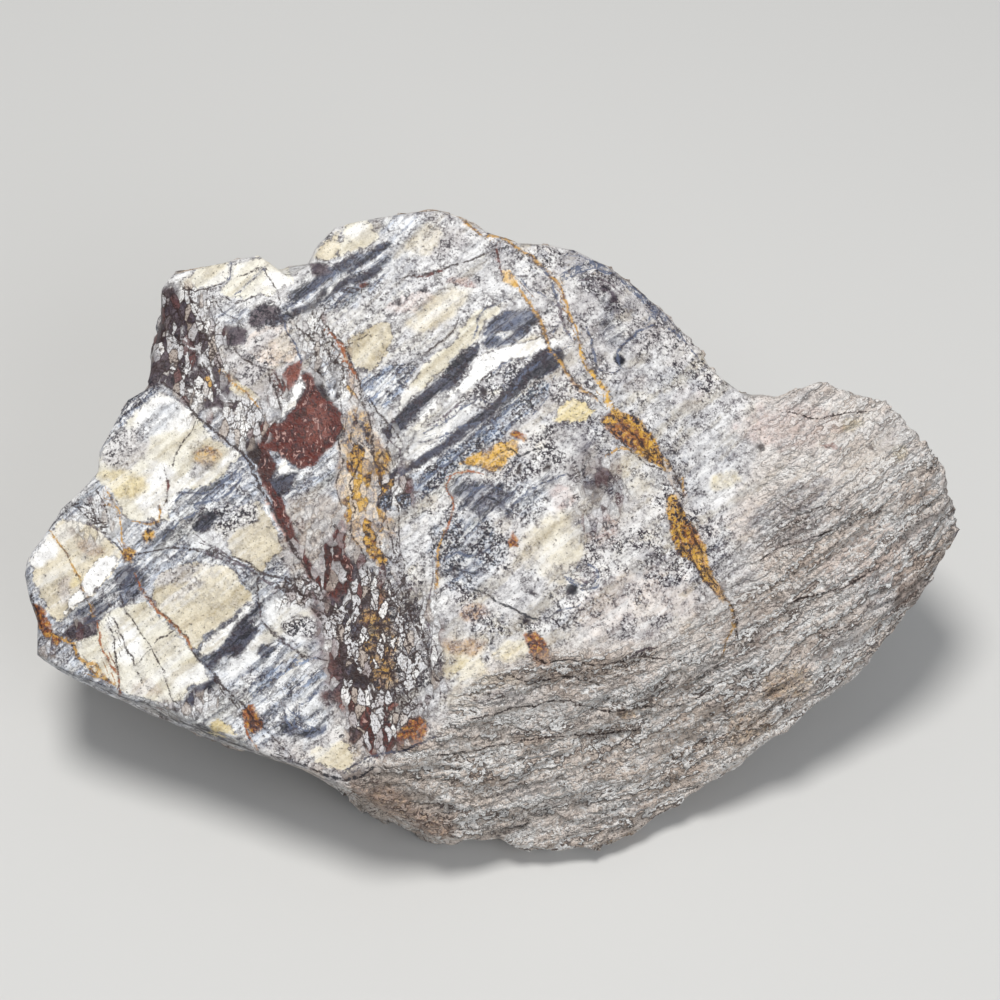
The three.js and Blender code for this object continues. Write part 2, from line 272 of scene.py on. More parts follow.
# Below zero inside the stone, and about the distance from its surface
def stoneHeight(points):
    ridges = stoneForm["ridges"]
    stretched = [ridges["alongU"] * points[:, 0], layerHeight(points), ridges["alongW"] * points[:, 2]]
    skin = {name: lumps(points, size) for name, size in stoneForm["lumpSizes"].items()}
    ridge = 2 * np.abs(noise(np.stack(stretched, 1), ridges["pitch"])) - 0.5

    def heightOf(facet):
        return planeHeight(facet, points) + facet["lump"] * skin[facet["size"]] + facet["ridge"] * ridge

    blend = stoneForm["blend"]
    blocks = [softMax([heightOf(facet) for facet in facets], soft) for soft, facets in blockFacets]
    parts = [softMin(blocks, blend["union"])] + [heightOf(facet) for facet in limitFacets]
    parts.append(sideHeight(points, skin))
    parts.append(softMax([heightOf(facet) for facet in underFacets], blend["under"]))
    height = softMax(parts, blend["edges"])
    for at, radius, depth in stoneForm["bites"]:
        away = np.linalg.norm(points - np.array(at), axis=1) / radius
        height += depth * smooth(np.clip(1 - away, 0, 1))
    return height


# A finer copy of the solid, split where its edges are long and laid back on the true surface
fineMesh = {
    "frontEdge": 0.9,  # longest edge on the seen side, in millimetres
    "sideEdge": 1.5,
    "backEdge": 2.6,
    "seenFrom": 0.12,  # how much a surface faces the eye to count as seen
    "backFrom": -0.35,  # and below which it is the back
    "weld": 0.002,
    "passes": 5,
    "mostShift": 1.6,  # that a point may be moved onto the true surface
    "probe": 0.15,
    "rounds": 3,
    "mostStep": 0.8,  # in one round
    "leastSlope": 0.25,
    "floorGap": 0.001,  # under which a point belongs to the resting spot
}


def dropDoubles(bm):  # two slivers on the same corners cancel each other
    sharing = {}
    for face in bm.faces:
        sharing.setdefault(frozenset(face.verts), []).append(face)
    doubles = [face for faces in sharing.values() if len(faces) > 1 for face in faces]
    bmesh.ops.delete(bm, geom=doubles, context="FACES")


def fineCopy(node):
    bm = bmesh.new()
    bm.from_mesh(node.data)
    bmesh.ops.remove_doubles(bm, verts=bm.verts, dist=fineMesh["weld"] / 1000)
    eye = Vector((0, -cosE, sinE))
    front, side, back = [fineMesh[name] / 1000 for name in ("frontEdge", "sideEdge", "backEdge")]
    for _ in range(fineMesh["passes"]):
        long = []
        for edge in bm.edges:
            facing = max((face.normal.dot(eye) for face in edge.link_faces), default=0)
            most = front if facing > fineMesh["seenFrom"] else side if facing > fineMesh["backFrom"] else back
            if edge.calc_length() > most:
                long.append(edge)
        if not long:
            break
        bmesh.ops.subdivide_edges(bm, edges=long, cuts=1)
        bmesh.ops.triangulate(bm, faces=bm.faces)
        dropDoubles(bm)
        bm.normal_update()
    mesh = bpy.data.meshes.new("jasperStone")
    bm.to_mesh(mesh)
    bm.free()
    return mesh


def pointsOf(mesh):
    places = np.zeros(len(mesh.vertices) * 3)
    mesh.vertices.foreach_get("co", places)
    return places.reshape(-1, 3)


def normalsOf(mesh):  # along the layout axes
    normals = np.zeros(len(mesh.vertices) * 3)
    mesh.vertex_normals.foreach_get("vector", normals)
    x, y, z = normals.reshape(-1, 3).T
    return np.stack([x, y * sinE + z * cosE, z * sinE - y * cosE], 1)


def layOn(mesh, points, base):
    mesh.vertices.foreach_set("co", placesOf(points).ravel())
    places = pointsOf(mesh)
    places[base, 2] = 0
    places[:, 2] = np.maximum(places[:, 2], 0)
    mesh.vertices.foreach_set("co", places.ravel())
    mesh.update()
    return layoutOf(places)


def ontoSurface(mesh):
    places = pointsOf(mesh)
    base = places[:, 2] * 1000 < fineMesh["floorGap"]
    points = layoutOf(places)
    rays = points - np.array(stoneForm["core"], float)
    rays /= np.linalg.norm(rays, axis=1)[:, None]
    moved = np.zeros(len(points))
    for _ in range(fineMesh["rounds"]):
        here = points + rays * moved[:, None]
        height = stoneHeight(here)
        slope = (stoneHeight(here + rays * fineMesh["probe"]) - height) / fineMesh["probe"]
        step = height / np.maximum(slope, fineMesh["leastSlope"])
        moved -= np.clip(step, -fineMesh["mostStep"], fineMesh["mostStep"])
        moved = np.clip(moved, -fineMesh["mostShift"], fineMesh["mostShift"])
    return layOn(mesh, points + rays * moved[:, None], base), base


mesh = fineCopy(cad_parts["stone"])
points, base = ontoSurface(mesh)
print("fine mesh:", len(mesh.vertices), "points,", len(mesh.polygons), "triangles")

# The corners of the sawn face, in pixels of the photograph. Past them the rock is broken
sawnEnd = [
    (-50, 900), (350, 775), (383, 761), (400, 745), (427, 740), (455, 690), (500, 662), (530, 650),
    (570, 648), (650, 640), (700, 600), (735, 560), (752, 480), (748, 400), (700, 200), (-50, 100),
]


def polygonField(spots, corners):  # distance to the rim in pixels, below zero inside
    rim = np.array(corners, float)
    nearest = np.full(len(spots), 1e9)
    inside = np.zeros(len(spots), bool)
    x, y = spots.T
    for (ax, ay), (bx, by) in zip(rim, np.roll(rim, -1, axis=0)):
        dx, dy = bx - ax, by - ay
        along = np.clip(((x - ax) * dx + (y - ay) * dy) / (dx * dx + dy * dy), 0, 1)
        nearest = np.minimum(nearest, np.hypot(x - ax - along * dx, y - ay - along * dy))
        crossed = (ay > y) != (by > y)
        inside ^= crossed & (x < ax + (y - ay) * dx / (dy if dy else 1e-9))
    return np.where(inside, -nearest, nearest)


# How rough each part of the surface is. Heights in millimetres, sizes are those of the noise
relief = {
    "flakes": [(3.0, 0.5), (1.6, 0.3)],  # sharp ridges along the layers
    "flakeEdge": 2.4,
    "ledges": {"pitch": 4, "height": 1.2, "sway": (6, 1.6), "fineSway": (2.5, 0.5)},
    "ledgePatches": {"size": 8, "shift": 90, "from": -0.5, "to": 0.5, "least": 0.25},
    "hacks": [(6.5, 0.5), (2.3, 0.42)],
    "backHacks": [(11, 1.1), (5.2, 0.6)],
    "grain": (1.6, 0.07),  # of the sawn face
    "sink": 0.35,  # of the rough parts, so that they don't swell
    "layerSway": (7, 0.8),
    "layerStretch": (0.28, 1, 0.5),
    "rimSway": (9, 5),  # of the sawn face's rim: size, then pixels of the photograph
    "rimSwayShift": 40,
    "roughFrom": (-5, 14),  # pixels outside the rim, from where it starts to where it is full
    "widerRim": (640, 730, 3),  # over these columns of the photograph, and how much wider
    "calmSpot": (820, 430, 110, 75),  # pixels of the photograph, where the lobe is only grainy
    "calmRim": (1.3, 0.4),
    "calm": 0.45,
    "behindFrom": (0.15, -0.15),  # how much a surface faces the eye where the hidden rock starts
}


def swayed(points, row):
    size, by = row
    return by * noise(points, size)


def roughShare(points, behind):
    spots = pictureOf(points)
    size, by = relief["rimSway"]
    shifts = (0, relief["rimSwayShift"])
    warp = np.stack([noise(points + shift, size) for shift in shifts], 1)
    sawnGap = polygonField(spots + warp * by, sawnEnd)
    left, right, wider = relief["widerRim"]
    blend = 1 + wider * smoothStep(left, right, spots[:, 0])
    x, y, wide, high = relief["calmSpot"]
    away = np.hypot((spots[:, 0] - x) / wide, (spots[:, 1] - y) / high)
    calm = relief["calm"] * smoothStep(*relief["calmRim"], away)
    return np.maximum(smoothStep(*relief["roughFrom"], sawnGap / blend) * (1 - calm), behind)


def roughen(mesh, points, base):
    normals = normalsOf(mesh)
    behind = smoothStep(*relief["behindFrom"], normals[:, 2])
    rough = roughShare(points, behind)
    layered = np.stack([points[:, 0], layerHeight(points), points[:, 2]], 1) * relief["layerStretch"]
    layered[:, 1] += swayed(points, relief["layerSway"])
    edge = relief["flakeEdge"]
    flaky = sum(height * (1 - edge * np.abs(noise(layered, size))) for size, height in relief["flakes"])
    ledges = relief["ledges"]
    turns = layered[:, 1] / ledges["pitch"]
    turns += swayed(layered, ledges["sway"]) + swayed(layered, ledges["fineSway"])
    patches = relief["ledgePatches"]
    patchy = smoothStep(patches["from"], patches["to"], noise(points + patches["shift"], patches["size"]))
    steep = patches["least"] + (1 - patches["least"]) * patchy
    flaky += ledges["height"] * steep * (0.5 - (turns - np.floor(turns)))
    hacky = sum(swayed(points, row) for row in relief["hacks"])
    coarse = sum(swayed(points, row) for row in relief["backHacks"])
    shift = rough * (flaky + hacky - relief["sink"]) + behind * coarse
    shift = np.where(base, 0, shift + (1 - rough) * swayed(points, relief["grain"]))
    # How deep each point lies in a crease of the rough relief; the material paints shade there
    crease = rough * np.clip(-(flaky + hacky), -1, 1)
    return layOn(mesh, points + normals * shift[:, None], base), rough, behind, crease


mesh.update()
points, rough, behind, crease = roughen(mesh, points, base)
for polygon in mesh.polygons:
    polygon.use_smooth = True
print("relief:", round(float(np.abs(crease).mean()), 3))


def keepField(mesh, name, values):
    layer = mesh.attributes.new(name, "FLOAT", "POINT")
    layer.data.foreach_set("value", np.ascontiguousarray(values, dtype=np.float32))


def keepVector(mesh, name, vectors):
    layer = mesh.attributes.new(name, "FLOAT_VECTOR", "POINT")
    layer.data.foreach_set("vector", np.ascontiguousarray(vectors, dtype=np.float32).ravel())


def keepColour(mesh, name, colours):
    layer = mesh.attributes.new(name, "FLOAT_COLOR", "POINT")
    whole = np.ones((len(colours), 4), np.float32)
    whole[:, : colours.shape[1]] = colours
    layer.data.foreach_set("color", whole.ravel())


# Each tone: red, green, blue, then how speckled, how streaky and how rusty it is, from 0 to 1
palette = {
    "porcelain": (232, 228, 214, 0.03, 0.04, 0),
    "ivory": (226, 216, 192, 0.04, 0.05, 0),
    "straw": (212, 202, 178, 0.06, 0.05, 0),
    "sand": (204, 194, 172, 0.1, 0.1, 0),
    "white": (247, 247, 246, 0.02, 0, 0),
    "chalk": (222, 222, 224, 0.3, 0.25, 0),
    "grain": (214, 210, 208, 0.55, 0.1, 0),
    "greyGrain": (186, 184, 188, 0.75, 0.2, 0),
    "paleBlue": (192, 200, 214, 0.3, 0.6, 0),
    "blue": (140, 154, 180, 0.35, 0.8, 0),
    "slate": (88, 96, 118, 0.3, 0.9, 0),
    "ink": (26, 27, 36, 0.3, 0.3, 0),
    "plum": (92, 80, 88, 0.6, 0.3, 0),
    "umber": (44, 28, 27, 0.2, 0.2, 0),
    "night": (72, 74, 90, 0.6, 0.9, 0),
    "denim": (122, 138, 164, 0.7, 0.6, 0),
    "crustPale": (240, 228, 218, 0.3, 0.1, 0),
    "dusk": (54, 43, 52, 0.6, 0.3, 0),
    "maroon": (104, 62, 58, 0.4, 0.2, 0),
    "crust": (213, 201, 191, 0.35, 0.1, 0),
    "blood": (94, 38, 30, 0.15, 0.1, 0),
    "brick": (132, 74, 62, 0.3, 0.1, 0),
    "rose": (206, 168, 158, 0.3, 0.1, 0),
    "rust": (150, 84, 40, 0.35, 0.1, 0.5),
    "ochre": (186, 142, 72, 0.4, 0.1, 0.9),
    "gold": (216, 168, 62, 0.2, 0.1, 0.35),
    "paleGold": (226, 210, 162, 0.08, 0.05, 0.05),
    "taupe": (188, 176, 166, 0.35, 0.2, 0),
    "clay": (184, 160, 138, 0.3, 0.1, 0),
    "shell": (232, 218, 208, 0.4, 0.1, 0),
    "fog": (196, 192, 192, 0.4, 0.1, 0),
}

# Broad tints under everything: tone, strength, x, y, half width, half height in pixels of the
# photograph, and turn in degrees
# A few of these tints are painted light or shade, each marked where it stands
washes = {
    "sawnGround": ("chalk", 1, 200, 520, 400, 400, 0),
    "middleGround": ("grain", 1, 620, 450, 210, 330, 0),
    "lobeGround": ("shell", 1, 860, 500, 150, 190, 0),
    "frontGround": ("crust", 1, 560, 770, 330, 115, 0),
    # Painted light on the upper part of the lobe, in white
    "lobeLight": ("white", 0.6, 830, 450, 110, 60, 0),
    "cornerBrown": ("clay", 0.9, 400, 805, 60, 26, -15),
    "cornerUmber": ("umber", 0.45, 400, 800, 60, 24, -15),
    "cornerGround": ("paleBlue", 1, 190, 560, 190, 200, 0),
    "cornerWhite": ("white", 0.7, 215, 535, 60, 16, -12),
    "rimBlue": ("blue", 0.8, 140, 402, 30, 18, 35),
    "rimBlueLow": ("blue", 0.7, 118, 425, 16, 18, 45),
    "bandUpper": ("blue", 0.85, 215, 485, 48, 20, 38),
    "bandMiddle": ("paleBlue", 0.8, 172, 530, 35, 20, 40),
    "bandDark": ("slate", 0.95, 128, 582, 17, 24, -20),
    "bandPale": ("paleBlue", 0.9, 108, 597, 16, 12, 40),
    "bandLower": ("slate", 0.9, 92, 618, 30, 13, 35),
    "cornerStripe": ("blue", 0.8, 55, 650, 26, 10, 20),
    "belowFirst": ("white", 0.7, 105, 518, 28, 24, 0),
    "speckledGrey": ("greyGrain", 0.8, 222, 522, 22, 22, 0),
    "lowerBand": ("slate", 0.8, 225, 642, 40, 16, 45),
    "lowerBandEnd": ("slate", 0.85, 195, 694, 30, 11, 30),
    "lowerLeft": ("chalk", 0.8, 180, 705, 40, 14, 15),
    "swirlGround": ("paleBlue", 1, 290, 690, 55, 55, 0),
    "swirlBeige": ("sand", 0.6, 290, 666, 30, 10, 35),
    "swirlWhite": ("white", 0.7, 305, 705, 28, 9, 20),
    "whiteFringe": ("white", 0.9, 250, 655, 42, 9, 40),
    "chipGround": ("white", 0.9, 300, 618, 38, 26, -20),
    "edgeStrip": ("fog", 1, 190, 760, 160, 30, -24),
    "upperMiddleGround": ("chalk", 1, 440, 340, 120, 130, 0),
    "rimGround": ("fog", 1, 600, 310, 70, 70, -35),
    "rimFog": ("fog", 0.8, 640, 330, 50, 60, -45),
    "crownSmudge": ("fog", 0.9, 443, 242, 22, 14, 10),
    "crownSpecks": ("paleBlue", 0.9, 402, 228, 22, 16, 0),
    "crownCream": ("ivory", 0.6, 420, 240, 20, 14, 30),
    "purpleStain": ("plum", 0.5, 463, 287, 20, 13, 0),
    "stainRose": ("rose", 0.7, 458, 288, 16, 9, 0),
    "dottedBlue": ("paleBlue", 0.9, 470, 440, 66, 26, 42),
    "greyLayer": ("greyGrain", 0.9, 500, 385, 30, 18, 30),
    "whiteLayers": ("white", 0.75, 445, 428, 46, 16, 25),
    "creamPocket": ("ivory", 0.9, 528, 345, 20, 11, 20),
    "veinField": ("fog", 0.9, 565, 345, 26, 50, -15),
    "denseBlue": ("denim", 0.9, 464, 550, 36, 38, 0),
    "plumCloud": ("plum", 0.7, 590, 468, 28, 26, 20),
    "plumCloudB": ("plum", 0.45, 636, 562, 24, 26, 0),
    "roseCloud": ("rose", 0.5, 600, 530, 22, 16, 0),
    "creamCloud": ("porcelain", 0.9, 560, 541, 26, 24, 25),
    "blueCloud": ("paleBlue", 0.8, 520, 500, 34, 20, 20),
    "roseRim": ("rose", 0.45, 690, 400, 20, 12, 0),
    "creamRun": ("ivory", 0.9, 452, 655, 40, 18, 25),
    "darkSmudge": ("slate", 0.9, 485, 498, 32, 20, -15),
    "darkSmudgeB": ("slate", 0.6, 552, 478, 16, 8, 20),
    "plumSpecksA": ("plum", 0.7, 600, 492, 20, 22, 0),
    "plumSpecksB": ("plum", 0.5, 588, 432, 40, 18, 10),
    "plumSpecksC": ("plum", 0.55, 582, 530, 20, 16, 0),
    "plumSpecksD": ("slate", 0.6, 612, 322, 14, 24, 10),
    "plumSpecksE": ("plum", 0.6, 628, 312, 12, 12, 0),
    "roseSpecks": ("rose", 0.6, 563, 498, 14, 12, 0),
    "roseSpecksB": ("brick", 0.6, 690, 398, 17, 15, 0),
    "roseSpecksC": ("rose", 0.7, 632, 382, 15, 9, 0),
    "middleWhite": ("chalk", 0.8, 545, 590, 60, 32, 0),
    "middleCream": ("ivory", 0.6, 553, 548, 34, 32, -30),
    "middleCreamB": ("ivory", 0.5, 640, 470, 30, 20, -30),
    "shoulderWhite": ("chalk", 0.8, 660, 420, 80, 60, -35),
    "rightOfVein": ("chalk", 0.9, 725, 450, 30, 80, -10),
    # Painted shade, in slate, along the valley between the middle bulge and the right lobe
    "rightBlue": ("slate", 0.5, 722, 565, 30, 30, 0),
    "rightBlueB": ("slate", 0.45, 745, 620, 26, 60, 10),
    "lowerMiddle": ("shell", 0.8, 640, 610, 70, 40, 0),
    "lowerMiddleTaupe": ("taupe", 0.45, 660, 640, 60, 26, 8),
    "brownSpecks": ("rust", 0.5, 462, 645, 22, 10, 0),
    "brownSpecksB": ("rust", 0.5, 475, 612, 14, 10, 0),
    "beigeFringe": ("paleGold", 0.85, 466, 670, 24, 10, 15),
    "beigeFringeB": ("paleGold", 0.8, 510, 650, 18, 12, 10),
    "frontSand": ("sand", 0.8, 480, 690, 50, 16, 10),
    "frontBlue": ("blue", 0.9, 500, 697, 22, 8, 12),
    # Painted shade, in slate, along the fold where the front turns downward
    "frontGrey": ("slate", 0.35, 600, 690, 120, 14, 3),
    "frontPink": ("clay", 1, 625, 773, 26, 14, 0),
    "frontShell": ("shell", 0.9, 546, 783, 12, 8, 0),
    "frontClay": ("clay", 0.8, 700, 740, 60, 30, 25),
    "frontFog": ("fog", 0.5, 540, 720, 90, 20, 5),
    "frontFoot": ("fog", 0.5, 590, 815, 60, 24, 0),
    "frontOchre": ("ochre", 0.9, 627, 715, 9, 6, 0),
    "cornerRust": ("rust", 0.8, 388, 800, 40, 13, -28),
    "cornerRustB": ("rust", 0.7, 435, 828, 22, 9, -10),
    "cornerDark": ("umber", 0.7, 370, 775, 40, 11, 5),
    "orangePatch": ("ochre", 0.7, 783, 683, 24, 16, 15),
    "orangePatchB": ("ochre", 0.55, 748, 727, 26, 15, 15),
    "orangePatchC": ("clay", 0.9, 742, 700, 20, 12, 10),
    "lobeNight": ("night", 0.8, 797, 505, 30, 13, 22),
    "lobeBlue": ("blue", 0.9, 795, 515, 45, 30, 25),
    "lobeBlueB": ("blue", 0.8, 880, 598, 26, 20, 20),
    "lobeBlueC": ("blue", 0.8, 835, 643, 28, 16, 20),
    "lobeFog": ("fog", 0.7, 897, 512, 10, 26, -30),
    "lobeFogB": ("fog", 0.6, 820, 610, 60, 40, 20),
    "lobePlum": ("plum", 0.9, 915, 592, 22, 16, 35),
    "lobeBrown": ("umber", 0.8, 944, 562, 16, 11, 35),
    "lobePlumB": ("plum", 0.6, 762, 638, 14, 16, 0),
    "lobeGold": ("paleGold", 0.7, 850, 424, 12, 7, 0),
    "lobeGoldB": ("paleGold", 0.7, 900, 454, 9, 9, 0),
    "lobeGoldC": ("paleGold", 0.7, 729, 482, 16, 8, 20),
    "lobeRose": ("rose", 0.5, 790, 425, 50, 22, 0),
    "lobeRoseB": ("rose", 0.4, 870, 560, 50, 30, 25),
    "lobeEdge": ("shell", 0.6, 900, 640, 30, 20, 40),
    "upperLeftGround": ("fog", 1, 245, 350, 90, 75, 0),
    "upperWhite": ("chalk", 0.9, 225, 300, 48, 22, 8),
    "blueShadowA": ("blue", 0.7, 232, 318, 22, 9, 10),
    "bandTopGround": ("blue", 0.9, 335, 285, 60, 22, 24),
    "goldenSmudge": ("paleGold", 0.7, 240, 388, 24, 9, -35),
    "breccia": ("maroon", 1, 352, 640, 40, 112, 10),
    "brecciaHigh": ("chalk", 1, 320, 345, 26, 40, 15),
    "brecciaLeft": ("greyGrain", 1, 246, 422, 26, 26, 20),
    "brecciaStreaks": ("chalk", 0.95, 385, 450, 30, 36, 20),
    "brecciaChip": ("paleBlue", 1, 312, 498, 34, 26, 10),
    "brecciaMiddle": ("taupe", 1, 325, 540, 45, 50, 20),
    "brecciaGold": ("ochre", 1, 366, 490, 26, 80, 8),
    "brecciaCrackle": ("greyGrain", 1, 395, 640, 50, 110, 12),
    "brecciaBrown": ("plum", 0.9, 360, 640, 30, 90, 6),
    "brecciaOchreLow": ("ochre", 0.7, 378, 640, 16, 50, 5),
    "brownNode": ("umber", 0.8, 392, 490, 18, 18, 0),
}

# Soft stains over the blocks, placed as the washes are
stains = {
    "creamTop": ("white", 0.9, 168, 412, 36, 18, 20),
    "creamGrey": ("fog", 0.9, 124, 446, 24, 22, 30),
    "creamGreyB": ("paleBlue", 0.5, 158, 420, 26, 10, 40),
    "creamWhite": ("white", 1, 160, 492, 26, 26, 30),
    "creamWhiteB": ("white", 0.9, 208, 468, 34, 10, 30),
    "creamStain": ("sand", 0.9, 205, 452, 20, 16, 0),
    "creamStainCore": ("ochre", 0.45, 206, 455, 12, 9, 20),
    "creamStainDark": ("plum", 0.5, 199, 468, 12, 6, 30),
    "creamGold": ("paleGold", 0.85, 126, 486, 20, 11, 10),
    "creamGoldB": ("paleGold", 0.6, 112, 474, 14, 6, 0),
    "leftStainHigh": ("sand", 0.9, 82, 545, 28, 12, -10),
    "leftStainMid": ("clay", 0.7, 92, 548, 12, 7, -20),
    "leftStainLow": ("sand", 0.9, 60, 590, 20, 18, 0),
    "leftStainDark": ("taupe", 0.8, 66, 590, 10, 12, 0),
    "leftStainGold": ("paleGold", 0.8, 76, 588, 7, 14, 0),
    "leftWhite": ("white", 0.95, 44, 552, 18, 12, 40),
    "strawGrey": ("fog", 0.9, 182, 572, 30, 10, 12),
    "strawBand": ("taupe", 0.5, 192, 584, 34, 5, 35),
    "strawPale": ("ivory", 0.8, 212, 570, 22, 8, 10),
    "strawLow": ("ivory", 0.7, 190, 622, 18, 12, 0),
    "sandGrey": ("greyGrain", 0.7, 240, 515, 18, 14, 0),
    "sandPale": ("ivory", 0.7, 262, 548, 14, 12, 0),
    "fanWhite": ("white", 0.8, 190, 672, 26, 10, 15),
    "fanSand": ("sand", 0.5, 168, 648, 22, 14, 20),
    "fanSandB": ("sand", 0.45, 150, 612, 12, 12, 0),
    "fanWhiteB": ("white", 0.9, 122, 640, 16, 26, 20),
    "fanClay": ("clay", 0.5, 148, 688, 16, 9, 0),
    "yellowPale": ("ivory", 0.6, 335, 752, 14, 7, 0),
    "topShade": ("straw", 0.6, 215, 272, 14, 6, 10),
    "topWhite": ("white", 0.8, 275, 280, 14, 10, 0),
    "crownPale": ("white", 0.7, 362, 232, 14, 8, 0),
    "agateGrey": ("fog", 0.8, 262, 340, 20, 8, 30),
    "agatePale": ("white", 0.5, 285, 340, 8, 16, 0),
    "creamSpeckled": ("ivory", 0.8, 440, 310, 34, 14, 30),
    "creamPurple": ("rose", 0.35, 410, 300, 24, 12, 20),
    "bandGlow": ("white", 0.8, 408, 402, 14, 14, 30),
    "redLight": ("brick", 0.6, 316, 420, 14, 22, 0),
    "redDark": ("umber", 0.6, 262, 462, 10, 24, 30),
    "redDarkB": ("umber", 0.5, 334, 570, 12, 26, 10),
    "redDarkC": ("umber", 0.6, 352, 712, 12, 12, 0),
    "ringOne": ("ochre", 0.75, 550, 528, 16, 15, 0),
    "ringOneCore": ("paleGold", 1, 549, 529, 12, 11, 0),
    "ringTwo": ("paleGold", 0.95, 571, 553, 9, 9, 0),
    "rustSpread": ("rust", 0.6, 612, 442, 16, 7, -20),
    "patchRust": ("rust", 0.8, 628, 436, 20, 12, -35),
    "patchRustB": ("rust", 0.7, 690, 534, 12, 12, -50),
}

# Where the rock is a net of dark cracks round splinters of many tones: strength, then place as above
brokenZones = {
    "upperLeft": (0.9, 185, 345, 40, 68, 20),
    "upperNet": (0.75, 322, 345, 22, 38, 25),
    "leftOfRed": (0.9, 243, 420, 30, 28, 20),
    "redFringe": (0.5, 275, 398, 16, 22, 20),
    "streakZone": (0.45, 385, 445, 24, 34, 20),
    "brownNode": (0.9, 395, 492, 22, 20, 0),
    "goldSeam": (0.55, 364, 500, 24, 80, 8),
    "redMiddle": (0.5, 325, 555, 34, 50, 25),
    "node": (0.9, 300, 592, 30, 16, 10),
    "lower": (1, 375, 660, 52, 105, 8),
    "lowerRight": (0.7, 425, 640, 22, 60, 10),
    "seamTop": (0.8, 352, 385, 14, 24, 25),
    "whiteTop": (0.5, 96, 520, 26, 26, 0),
    "bottomLeft": (0.7, 190, 704, 46, 14, 15),
    "cornerUnder": (0.6, 60, 640, 34, 16, 20),
    "middleDark": (0.4, 600, 500, 30, 40, 0),
}

